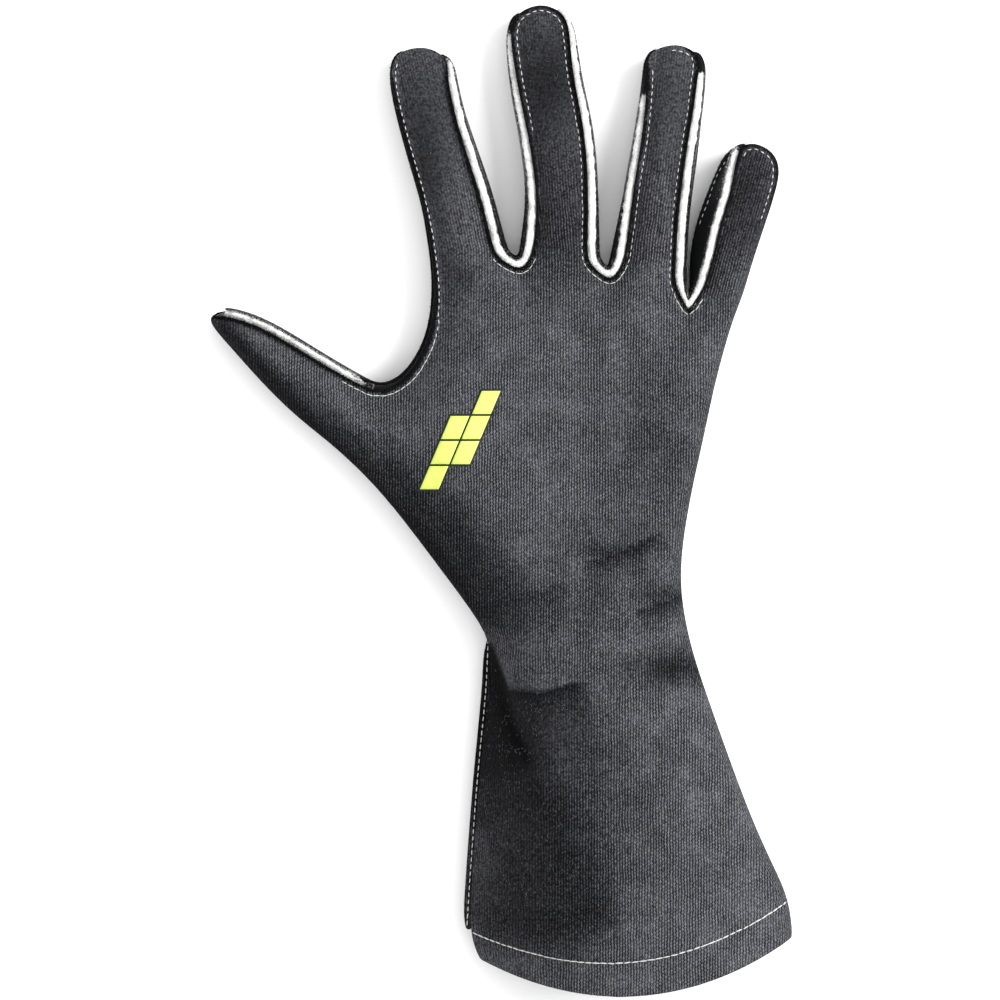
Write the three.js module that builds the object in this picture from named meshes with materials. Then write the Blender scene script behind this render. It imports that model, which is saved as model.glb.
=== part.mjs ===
// A driver's racing glove, right hand, lying palm down. Millimetres, +Z up, fingers towards +Y.
// The back of the hand, its four fingers, the thumb and the top of the gauntlet are one knit panel.
// A palm panel closes it from below. Between two fingers a side strip runs down one finger, round the
// crotch and up the next, sewn to the back with an outside seam whose raw edge shows the white lining.
// The whole glove is hollow, and open at the hem of the gauntlet.
import * as THREE from 'three';

// Cloth
const BACK_WALL = 1.3;
const PALM_WALL = 1.2;
const SIDE_WALL = 1.1;
const GAP = 0.3;

// The outside seam: a flange of three layers that stands out from the glove
const FLANGE = 2.6;
const BACK_LIP = 0.9;
const SIDE_LIP = 0.7;
const LINING_WIDTH = 2.1;
const LINING_ROOT = 0.3;
const LINING_EASE = 0.2;
const LINING_TAPER = 9;
const LINING_END = 0.35;
const VALLEY_DROP = 1.2;

// The side strip: how far its face stands back from the seam, how high its bend is, and how its foot tucks
const SIDE_RECESS = 2.2;
const SIDE_BEND = 0.55;
const SIDE_FOOT = 0.4;

// Rounded edges
const BOTTOM_ROUND = 6.5;
const WRAP_TUCK = 1.3;
const EQUATOR = 0.32;
const PALM_RIM = 5;
const THUMB_TIP_RIM = 6.5;
const TIP_RIM = 7.8;
const RIM_STEP = 1.8;

// How far in from an outside seam the back reaches its full height: at the finger bases, down the hand,
// on the gauntlet, and at the thumb's base and tip
const SEAM_ROUND = { fingers: 12, hand: 26, cuff: 6, thumbBase: 26, thumbTip: 15 };

// The hand's crown: its share of the way across, and how much the back falls from there to the sides
const CROWN_AT = 0.45;
const CROWN_FALL = 0.1;

// How much closer a panel's columns lie at its sides: 0 even, 1 as on a half circle
const SIDE_CLOSENESS = 0.65;

// Hem and printed badge
const HEM_FACING = 1.1;
const HEM_CLEARANCE = 0.6;
const BADGE_THICKNESS = 0.5;
const BADGE_CLEARANCE = 0.65;

// Fingers: centre line from crotch to tip. half is half the width seen from above, back is the height
// of the back of the finger above the table, and round is how far from the tip the sides start to close.
const FINGERS = {
  index: {
    round: 8.5,
    rows: [
      { x: -10.9, y: 84, half: 13.6, back: 20 },
      { x: -14.6, y: 101, half: 12.8, back: 19.2 },
      { x: -21.2, y: 122, half: 12.2, back: 18 },
      { x: -26.0, y: 142, half: 12.1, back: 16.8 },
      { x: -25.8, y: 154, half: 11.6, back: 14.2 },
    ],
  },
  middle: {
    round: 12,
    rows: [
      { x: 20.2, y: 84, half: 14, back: 21 },
      { x: 21.1, y: 102, half: 13, back: 20 },
      { x: 19.3, y: 122.5, half: 13.4, back: 18.8 },
      { x: 15.3, y: 143, half: 13.1, back: 17.4 },
      { x: 12.9, y: 168.6, half: 12.4, back: 14.4 },
    ],
  },
  ring: {
    round: 8.5,
    rows: [
      { x: 50.2, y: 79, half: 13.6, back: 20 },
      { x: 52.7, y: 98.5, half: 12.4, back: 19.2 },
      { x: 55.8, y: 117.5, half: 12, back: 18 },
      { x: 58.6, y: 136, half: 11.8, back: 16.8 },
      { x: 60.0, y: 155, half: 11.4, back: 14.2 },
    ],
  },
  little: {
    round: 11,
    rows: [
      { x: 73.6, y: 70.5, half: 9.6, back: 19 },
      { x: 75.1, y: 81.5, half: 11.2, back: 18.4 },
      { x: 77.9, y: 92, half: 11.8, back: 17.8 },
      { x: 82.1, y: 104, half: 11.5, back: 16.8 },
      { x: 87.4, y: 121, half: 11, back: 14.2 },
    ],
  },
};
const FINGER_STATIONS = [0, 0.11, 0.23, 0.36, 0.49, 0.62, 0.74, 0.84, 0.91, 0.962];

// Seams along each side of a finger, from crotch (at 0) to tip (at 1). inset is how far the seam's
// outer edge lies inside the outline, rise its height, tilt its angle: 90 upright, 0 flat outwards.
const SEAMS = {
  index: {
    left: [
      { at: 0, inset: 0.2, rise: 12.5, tilt: 15 },
      { at: 1, inset: 0.2, rise: 10.3, tilt: 12 },
    ],
    right: [
      { at: 0, inset: 1.4, rise: 14, tilt: 85 },
      { at: 0.5, inset: 0.8, rise: 12.8, tilt: 82 },
      { at: 0.84, inset: 0.4, rise: 11.2, tilt: 60 },
      { at: 1, inset: 0.2, rise: 10.3, tilt: 16 },
    ],
  },
  middle: {
    left: [
      { at: 0, inset: 1.6, rise: 14, tilt: 85 },
      { at: 0.3, inset: 0.5, rise: 13.2, tilt: 75 },
      { at: 0.7, inset: 0.3, rise: 12, tilt: 50 },
      { at: 1, inset: 0.2, rise: 10.3, tilt: 14 },
    ],
    right: [
      { at: 0, inset: 1, rise: 14, tilt: 85 },
      { at: 0.3, inset: 0.4, rise: 13.2, tilt: 75 },
      { at: 0.8, inset: 0.3, rise: 11.5, tilt: 50 },
      { at: 1, inset: 0.2, rise: 10.3, tilt: 16 },
    ],
  },
  ring: {
    left: [
      { at: 0, inset: 1.8, rise: 14, tilt: 85 },
      { at: 0.3, inset: 0.5, rise: 13.2, tilt: 70 },
      { at: 0.65, inset: 0.3, rise: 12, tilt: 50 },
      { at: 1, inset: 0.2, rise: 10.3, tilt: 12 },
    ],
    right: [
      { at: 0, inset: 0.5, rise: 13.8, tilt: 86 },
      { at: 0.5, inset: 1, rise: 12.8, tilt: 80 },
      { at: 0.84, inset: 0.6, rise: 11.2, tilt: 56 },
      { at: 1, inset: 0.2, rise: 10.3, tilt: 14 },
    ],
  },
  little: {
    left: [
      { at: 0, inset: 1.6, rise: 13.6, tilt: 86 },
      { at: 0.22, inset: 5, rise: 14.5, tilt: 84 },
      { at: 0.6, inset: 4.6, rise: 14, tilt: 80 },
      { at: 0.84, inset: 2.6, rise: 12, tilt: 62 },
      { at: 1, inset: 0.2, rise: 10.3, tilt: 20 },
    ],
  },
  thumb: {
    upper: [
      { at: 0, inset: 0.4, rise: 14.5, tilt: 46 },
      { at: 0.35, inset: 0.5, rise: 14, tilt: 68 },
      { at: 0.65, inset: 0.5, rise: 13, tilt: 78 },
      { at: 1, inset: 0.3, rise: 10.6, tilt: 70 },
    ],
  },
};

// The lowest point of each crotch between two fingers
const CROTCHES = [
  { x: 4.8, y: 82.6 },
  { x: 35.7, y: 79.4 },
  { x: 63.8, y: 68.8 },
];

// The hand below the finger crotches. The left edge is the seam down to the crotch of the thumb, then
// an inner line that the thumb is joined along. spread says how far the columns have evened out, and
// round is how far in from the little finger's side the back rises to its full height.
const HAND_ROWS = [
  { leftX: -23.6, leftY: 72, rightX: 80.2, rightY: 62, back: 22.5, round: 14, spread: 0.1 },
  { leftX: -24.2, leftY: 62.5, rightX: 77.6, rightY: 54, back: 24, round: 18, spread: 0.22 },
  { leftX: -26.4, leftY: 53.4, rightX: 75.4, rightY: 46, back: 25.5, round: 21, spread: 0.36 },
  { leftX: -31.2, leftY: 45, rightX: 73.2, rightY: 37.5, back: 26.8, round: 23, spread: 0.5 },
  { leftX: -32.5, leftY: 28, rightX: 71, rightY: 27, back: 28, round: 24, spread: 0.62 },
  { leftX: -28.5, leftY: 15.5, rightX: 68.6, rightY: 16, back: 29, round: 25, spread: 0.74 },
  { leftX: -24, leftY: 3.5, rightX: 66, rightY: 4.5, back: 30, round: 26, spread: 0.84 },
  { leftX: -18.8, leftY: -8.5, rightX: 63.9, rightY: -6.5, back: 31, round: 27, spread: 0.92 },
  { leftX: -13.2, leftY: -21, rightX: 62.2, rightY: -17.5, back: 32, round: 28, spread: 1 },
  { leftX: -7.6, leftY: -34, rightX: 61.6, rightY: -28.5, back: 33, round: 29, spread: 1 },
];
const THUMB_CROTCH_ROW = 4;

// The wrist and the flared gauntlet, from the wrist's left corner to the hem. The left side is low at
// its seam and slopes up over slope, to a ridge that runs from the wrist's left to the middle of the
// hem; side is the height that its lower edge is rounded for. sag is how far the row bows towards the hem.
const CUFF_ROWS = [
  { leftX: -3.7, leftY: -47.6, rightX: 62.8, rightY: -39.5, back: 33.5, round: 30, slope: 26, side: 32, sag: 0 },
  { leftX: -4, leftY: -56.5, rightX: 65.6, rightY: -52, back: 34.2, round: 31, slope: 20, side: 24, sag: 2 },
  { leftX: -4.6, leftY: -67, rightX: 69.8, rightY: -64.5, back: 35.2, round: 33, slope: 18, side: 19, sag: 4 },
  { leftX: -6.1, leftY: -82, rightX: 75.2, rightY: -80, back: 36.6, round: 36, slope: 24, side: 17, sag: 6.5 },
  { leftX: -7.6, leftY: -98, rightX: 81, rightY: -96, back: 38.2, round: 39, slope: 32, side: 16, sag: 9 },
  { leftX: -8.9, leftY: -115, rightX: 87.2, rightY: -112, back: 39.8, round: 42, slope: 40, side: 16, sag: 11.5 },
  { leftX: -10.1, leftY: -132, rightX: 93.8, rightY: -126, back: 41.2, round: 45, slope: 47, side: 16, sag: 13.8 },
  { leftX: -11, leftY: -147, rightX: 98.6, rightY: -136, back: 42.2, round: 47, slope: 53, side: 16, sag: 15.5 },
  { leftX: -7.4, leftY: -157.3, rightX: 100, rightY: -149.5, back: 42.6, round: 48, slope: 54, side: 16, sag: 15.6 },
];

// The thumb: each row runs from its upper edge, beside the index finger, to its lower edge.
const THUMB_ROWS = [
  { upperX: -36.2, upperY: 40.6, lowerX: -16.3, lowerY: -30.6, back: 27 },
  { upperX: -41.2, upperY: 39.2, lowerX: -28.9, lowerY: -13.6, back: 25.6 },
  { upperX: -46.4, upperY: 42.1, lowerX: -41.5, lowerY: 2.7, back: 24.2 },
  { upperX: -52.6, upperY: 45.7, lowerX: -56.1, lowerY: 16.8, back: 22.6 },
  { upperX: -60.4, upperY: 50.3, lowerX: -68.2, lowerY: 26, back: 21 },
  { upperX: -69.4, upperY: 55.9, lowerX: -78.9, lowerY: 36.3, back: 19.4 },
  { upperX: -78.6, upperY: 61.1, lowerX: -87.4, lowerY: 45.8, back: 17.6 },
  { upperX: -87, upperY: 64.3, lowerX: -93.3, lowerY: 52.6, back: 15.6 },
  { upperX: -94, upperY: 65.5, lowerX: -97.6, lowerY: 57.6, back: 13.4 },
];
const THUMB_TIP = { x: -99.8, y: 62.2, z: 9.5 };

// Folds and dents of the back: a crease centred at x, y, lying at angle degrees from +X. A narrow
// crease presses in by depth; drop lowers the cloth on its far side, as where one fold hangs over.
const FOLDS = [
  { x: 40.8, y: -17, angle: 24, length: 13, width: 4, depth: 2.2 },
  { x: 57, y: -34, angle: 10, length: 11, width: 4, depth: 2.6 },
  { x: 61, y: -60, angle: -18, length: 13, width: 8, depth: 3 },
  { x: 12, y: -64, angle: 6, length: 20, width: 6, depth: 3.2 },
  { x: 6, y: -88, angle: 102, length: 26, width: 8, depth: 3.4 },
];

// The badge on the back of the hand: a slanted block, standing for a printed sign
const BADGE = { x: -13.5, y: 19.5, width: 14, height: 34, slant: 0.42, columns: 4, rows: 8 };

const COLOURS = {
  knit: { color: 0x4a4b50, roughness: 0.95, metalness: 0 },
  suede: { color: 0x0e1013, roughness: 0.95, metalness: 0 },
  lining: { color: 0xe6e6e4, roughness: 0.9, metalness: 0 },
  print: { color: 0xdcf56a, roughness: 0.5, metalness: 0 },
};

// Small vector and table helpers
const lerp = (a, b, f) => a + (b - a) * f;
const clamp01 = (f) => Math.min(1, Math.max(0, f));
const smooth = (f) => f * f * (3 - 2 * f);
const softRound = (f) => 1 - (1 - clamp01(f)) ** 2;
const quarterRound = (f) => Math.sqrt(1 - (1 - clamp01(f)) ** 2);
const vec2 = (x, y) => new THREE.Vector2(x, y);
const mix2 = (a, b, f) => a.clone().lerp(b, f);
const leftOf = (direction) => vec2(-direction.y, direction.x);

// The value of a table's column at a place between its rows, eased from row to row
function columnAt(table, key, place, column) {
  let i = 1;
  while (i < table.length - 1 && table[i][key] < place) i += 1;
  const before = table[i - 1];
  const after = table[i];
  const f = clamp01((place - before[key]) / (after[key] - before[key]));
  return lerp(before[column], after[column], f);
}

// A sheet of cloth: its outer face as quads, thickened inwards into one closed solid. Points may carry
// their own inner point, where the cloth's edge lies against another piece.
class Sheet {
  constructor(thickness) {
    this.thickness = thickness;
    this.outer = [];
    this.fixedInner = [];
    this.faces = [];
  }

  add(point, inner = null) {
    this.outer.push(point);
    this.fixedInner.push(inner);
    return this.outer.length - 1;
  }

  face(...corners) {
    const kept = corners.filter((c, i) => c !== corners[(i + 1) % corners.length]);
    if (kept.length > 2) this.faces.push(kept);
  }

  strip(lower, upper) {
    for (let c = 0; c + 1 < lower.length; c += 1) {
      this.face(lower[c], lower[c + 1], upper[c + 1], upper[c]);
    }
  }

  fan(row, pole) {
    for (let c = 0; c + 1 < row.length; c += 1) this.face(row[c], row[c + 1], pole);
  }

  triangles() {
    return this.faces.flatMap((f) => (f.length === 3 ? [f] : [[f[0], f[1], f[2]], [f[0], f[2], f[3]]]));
  }

  normals() {
    const sums = this.outer.map(() => new THREE.Vector3());
    for (const [a, b, c] of this.triangles()) {
      const ab = this.outer[b].clone().sub(this.outer[a]);
      const ac = this.outer[c].clone().sub(this.outer[a]);
      const n = ab.cross(ac);
      for (const i of [a, b, c]) sums[i].add(n);
    }
    return sums.map((n) => n.normalize());
  }

  // Points at a depth below the outer face; a fixed inner point holds the place of the wall's full depth
  below(depth) {
    const normals = this.normals();
    return this.outer.map((p, i) => {
      const inner = this.fixedInner[i];
      if (inner) return p.clone().lerp(inner, depth / this.thickness);
      return p.clone().addScaledVector(normals[i], -depth);
    });
  }

  solid() {
    const inner = this.below(this.thickness);
    const n = this.outer.length;
    const triangles = this.triangles();
    const directed = new Set(triangles.flatMap(([a, b, c]) => [`${a},${b}`, `${b},${c}`, `${c},${a}`]));
    const index = [];
    for (const [a, b, c] of triangles) {
      index.push(a, b, c, n + a, n + c, n + b);
      for (const [s, e] of [[a, b], [b, c], [c, a]]) {
        if (!directed.has(`${e},${s}`)) index.push(e, s, n + s, e, n + s, n + e);
      }
    }
    return geometryOf([...this.outer, ...inner], index);
  }
}

function geometryOf(points, index) {
  const geometry = new THREE.BufferGeometry();
  geometry.setAttribute('position', new THREE.Float32BufferAttribute(points.flatMap((p) => p.toArray()), 3));
  geometry.setIndex(index);
  geometry.computeVertexNormals();
  return geometry;
}

// A closed bar swept through rings of corners, each ring counter-clockwise seen from the far end. Its
// ends are filled across, corner to facing corner.
function sweptBar(rings) {
  const size = rings[0].length;
  const index = [];
  for (let r = 0; r + 1 < rings.length; r += 1) {
    for (let c = 0; c < size; c += 1) {
      const a = r * size + c;
      const b = r * size + ((c + 1) % size);
      index.push(a, b, b + size, a, b + size, a + size);
    }
  }
  const last = (rings.length - 1) * size;
  for (let c = 0; c + 1 < size / 2; c += 1) {
    const [a, b, d, e] = [c, c + 1, size - 2 - c, size - 1 - c];
    index.push(a, d, b, a, e, d);
    index.push(last + a, last + b, last + d, last + a, last + d, last + e);
  }
  return geometryOf(rings.flat(), index);
}

// Finger sections: centre, half width, height and direction at each station
function fingerSections(finger) {
  const { rows, round } = finger;
  const curve = new THREE.SplineCurve(rows.map((r) => vec2(r.x, r.y)));
  const length = curve.getLength();
  const marks = rows.map((r, i) => ({ ...r, at: i / (rows.length - 1) }));
  return FINGER_STATIONS.map((at) => {
    const place = curve.getUtoTmapping(at);
    const fromTip = (1 - at) * length;
    return {
      at,
      centre: curve.getPoint(place),
      along: curve.getTangent(place),
      half: columnAt(marks, 'at', place, 'half') * quarterRound(fromTip / round) ** 0.9,
      back: columnAt(marks, 'at', place, 'back'),
    };
  });
}

// A point of a seam path: the outline, the way out of the glove, and the seam's own attributes
function seamPoint(outline, out, seam, at, low) {
  return {
    outline,
    out,
    low,
    inset: columnAt(seam, 'at', at, 'inset'),
    rise: columnAt(seam, 'at', at, 'rise'),
    tilt: THREE.MathUtils.degToRad(columnAt(seam, 'at', at, 'tilt')),
  };
}

const mixSeam = (a, b, f, outline, out) => ({
  outline,
  out,
  low: lerp(a.low, b.low, f),
  inset: lerp(a.inset, b.inset, f),
  rise: lerp(a.rise, b.rise, f),
  tilt: lerp(a.tilt, b.tilt, f),
});

// Where a seam point's layers lie: along is measured up the flange from its root, and across from the
// lining's middle towards the back panel
function onFlange(seam, along, across) {
  const reach = LINING_WIDTH / 2 + GAP + SIDE_LIP;
  const depth = seam.inset + reach * Math.sin(seam.tilt) + FLANGE * Math.cos(seam.tilt);
  const outwards = -depth + along * Math.cos(seam.tilt) - across * Math.sin(seam.tilt);
  const height = seam.rise + along * Math.sin(seam.tilt) + across * Math.cos(seam.tilt);
  return atOutline(seam, outwards, height);
}

const atOutline = (seam, outwards, height) => new THREE.Vector3(
  seam.outline.x + seam.out.x * outwards,
  seam.outline.y + seam.out.y * outwards,
  height,
);

const sideReach = (seam) => -SIDE_RECESS * Math.cos(seam.tilt);
const rimHeight = (at) => lerp(PALM_RIM, TIP_RIM - GAP, smooth(clamp01((at - 0.8) / 0.2)));

const names = Object.keys(FINGERS);
const sections = Object.fromEntries(names.map((name) => [name, fingerSections(FINGERS[name])]));

// Both sides of every finger
const sides = {};
for (const name of names) {
  sides[name] = { left: [], right: [] };
  for (const s of sections[name]) {
    const toLeft = leftOf(s.along);
    for (const [side, out] of [['left', toLeft], ['right', toLeft.clone().negate()]]) {
      const outline = s.centre.clone().addScaledVector(out, s.half);
      const seam = SEAMS[name][side];
      const point = seam
        ? seamPoint(outline, out, seam, s.at, rimHeight(s.at))
        : { outline, out, low: rimHeight(s.at), wrap: s.back };
      sides[name][side].push(point);
    }
  }
}

// The crotch between two fingers: a half ellipse through its lowest point
function crotchPoints(from, to, lowest) {
  const middle = mix2(from.outline, to.outline, 0.5);
  const across = to.outline.clone().sub(middle);
  const down = vec2(lowest.x, lowest.y).sub(middle);
  return [135, 90, 45].map((degrees) => {
    const angle = THREE.MathUtils.degToRad(degrees);
    const outline = middle.clone()
      .addScaledVector(across, Math.cos(angle))
      .addScaledVector(down, Math.sin(angle));
    const out = across.clone().normalize().multiplyScalar(-Math.cos(angle))
      .addScaledVector(down.clone().normalize(), -Math.sin(angle)).normalize();
    return mixSeam(from, to, (180 - degrees) / 180, outline, out);
  });
}

const crotches = CROTCHES.map((lowest, i) => crotchPoints(
  sides[names[i]].right[0],
  sides[names[i + 1]].left[0],
  lowest,
));

// The seam from the thumb's tip, round its crotch, to the index finger
const handSeam = (() => {
  const outlines = [
    ...[...THUMB_ROWS].reverse().map((r) => vec2(r.upperX, r.upperY)),
    ...HAND_ROWS.slice(0, THUMB_CROTCH_ROW).reverse().map((r) => vec2(r.leftX, r.leftY)),
  ];
  const ends = [vec2(THUMB_TIP.x, THUMB_TIP.y), sides.index.left[0].outline];
  const indexEnd = sides.index.left[0];
  const thumbCount = THUMB_ROWS.length;
  return outlines.map((outline, i) => {
    const before = outlines[i - 1] ?? ends[0];
    const after = outlines[i + 1] ?? ends[1];
    const out = leftOf(after.clone().sub(before).normalize());
    if (i < thumbCount) {
      const at = 1 - (i + 0.6) / thumbCount;
      const low = lerp(THUMB_TIP_RIM, PALM_RIM, smooth(clamp01(i / 3)));
      return seamPoint(outline, out, SEAMS.thumb.upper, at, low);
    }
    const start = seamPoint(outline, out, SEAMS.thumb.upper, 0, PALM_RIM);
    return mixSeam(start, indexEnd, (i - thumbCount + 1) / (THUMB_CROTCH_ROW + 1), outline, out);
  });
})();
const thumbSeam = handSeam.slice(0, THUMB_ROWS.length).reverse();
const palmSeam = handSeam.slice(THUMB_ROWS.length).reverse();

// The wrapped edges, where the back panel turns under with no seam in sight
function wrapPoints(outlines, backs, lows, toRight) {
  return outlines.map((outline, i) => {
    const before = outlines[Math.max(0, i - 1)];
    const after = outlines[Math.min(outlines.length - 1, i + 1)];
    const out = leftOf(after.clone().sub(before).normalize()).multiplyScalar(toRight);
    return { outline, out, low: lows[i], wrap: backs[i] };
  });
}

const bodyRows = [...HAND_ROWS, ...CUFF_ROWS];
const littleSide = sides.little.right;
const rightWrap = wrapPoints(
  [littleSide[0].outline, ...bodyRows.map((r) => vec2(r.rightX, r.rightY))],
  [littleSide[0].wrap, ...bodyRows.map((r) => r.back)],
  [littleSide[0].low, ...bodyRows.map(() => PALM_RIM)],
  1,
).slice(1);
const thumbWrap = wrapPoints(
  [
    vec2(CUFF_ROWS[0].leftX, CUFF_ROWS[0].leftY),
    ...THUMB_ROWS.map((r) => vec2(r.lowerX, r.lowerY)),
    vec2(THUMB_TIP.x, THUMB_TIP.y),
  ],
  [CUFF_ROWS[0].back, ...THUMB_ROWS.map((r) => r.back), THUMB_TIP.z],
  [PALM_RIM, ...THUMB_ROWS.map((r, i) => lerp(PALM_RIM, THUMB_TIP_RIM, smooth(clamp01((i - 5) / 3)))), TIP_RIM],
  1,
).slice(1, -1);
const cuffWrap = wrapPoints(
  CUFF_ROWS.map((r) => vec2(r.leftX, r.leftY)),
  CUFF_ROWS.map((r) => r.side),
  CUFF_ROWS.map(() => PALM_RIM),
  -1,
);

// Edge and next-to-edge points of the back panel
const backEdge = (p) => {
  if (p.wrap) {
    const rim = p.low + GAP;
    return [atOutline(p, -WRAP_TUCK, rim), atOutline(p, -WRAP_TUCK - BACK_WALL, rim)];
  }
  const inside = LINING_WIDTH / 2 + GAP;
  return [onFlange(p, FLANGE, inside + BACK_LIP), onFlange(p, FLANGE, inside)];
};
const backNext = (p) => {
  if (p.wrap) return [atOutline(p, 0, lerp(p.low, p.wrap, EQUATOR)), null];
  const inside = LINING_WIDTH / 2 + GAP;
  return [onFlange(p, 0, inside + BACK_LIP), onFlange(p, -VALLEY_DROP, inside)];
};

// Edge and next-to-edge points of the palm panel
const palmEdge = (p) => {
  const outwards = p.wrap ? -WRAP_TUCK : sideReach(p) - SIDE_FOOT;
  return [atOutline(p, outwards, p.low), atOutline(p, outwards - PALM_WALL, p.low)];
};
const palmNext = (p) => {
  const outwards = p.wrap ? -WRAP_TUCK : sideReach(p) - SIDE_FOOT;
  const height = p.low * (1 - quarterRound(RIM_STEP / BOTTOM_ROUND));
  return [atOutline(p, outwards - RIM_STEP, height), null];
};

// Distance from a place to a line of points, with the line's height there
function nearest(line, x, y) {
  let best = { distance: Infinity, height: 0 };
  for (let i = 0; i + 1 < line.length; i += 1) {
    const [a, b] = [line[i], line[i + 1]];
    const dx = b.x - a.x;
    const dy = b.y - a.y;
    const f = clamp01(((x - a.x) * dx + (y - a.y) * dy) / (dx * dx + dy * dy));
    const distance = Math.hypot(x - a.x - f * dx, y - a.y - f * dy);
    if (distance < best.distance) best = { distance, height: lerp(a.z, b.z, f) };
  }
  return best;
}

const valleyLine = (points) => points.map((p) => backNext(p)[0]);
const gapPaths = [
  [...handSeam, ...sides.index.left],
  ...CROTCHES.map((_, i) => [
    ...[...sides[names[i]].right].reverse(),
    ...crotches[i],
    ...sides[names[i + 1]].left,
  ]),
];
const seamLines = gapPaths.map(valleyLine);
const rightLine = valleyLine([...[...sides.little.right].reverse(), ...rightWrap]);
const leftLine = valleyLine([...[...thumbWrap].reverse(), ...cuffWrap]);

function foldDepth(x, y) {
  return FOLDS.reduce((sum, f) => {
    const angle = THREE.MathUtils.degToRad(f.angle);
    const dx = x - f.x;
    const dy = y - f.y;
    const along = (dx * Math.cos(angle) + dy * Math.sin(angle)) / f.length;
    const across = (-dx * Math.sin(angle) + dy * Math.cos(angle)) / f.width;
    return sum + f.depth * Math.exp(-along * along - across * across);
  }, 0);
}

// Height of the back: full in the middle, falling gently to the seams and to the left edge, and in a
// quarter round to the edge that wraps under at the little finger's side
function backHeight(x, y, full, round) {
  const fall = (line, share) => {
    const near = nearest(line, x, y);
    return (full - near.height) * (1 - share(near.distance));
  };
  let height = full;
  for (const line of seamLines) height -= fall(line, (distance) => softRound(distance / round.seam));
  height -= fall(leftLine, (distance) => softRound(distance / round.left));
  height -= fall(rightLine, (distance) => quarterRound(distance / round.right));
  return height - foldDepth(x, y);
}

// The panel's columns between two edges of a finger, as shares of the way across
const BACK_SHARES = [0.095, 0.345, 0.655, 0.905];
const PALM_SHARES = [0.2, 0.8];

// How a row lies between its first and last inner points: the finger bases' own shape fades out down
// the hand, and the columns spread evenly with closer ones at the edges
function columnShares(row0) {
  const first = row0[0];
  const last = row0.at(-1);
  const chord = last.clone().sub(first);
  const shares = row0.map((p) => p.clone().sub(first).dot(chord) / chord.lengthSq());
  const lift = row0.map((p, i) => p.clone().sub(first.clone().addScaledVector(chord, shares[i])));
  const even = row0.map((_, i) => {
    const f = i / (row0.length - 1);
    return lerp(f, 0.5 - 0.5 * Math.cos(Math.PI * f), SIDE_CLOSENESS);
  });
  return { shares, lift, even };
}

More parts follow.
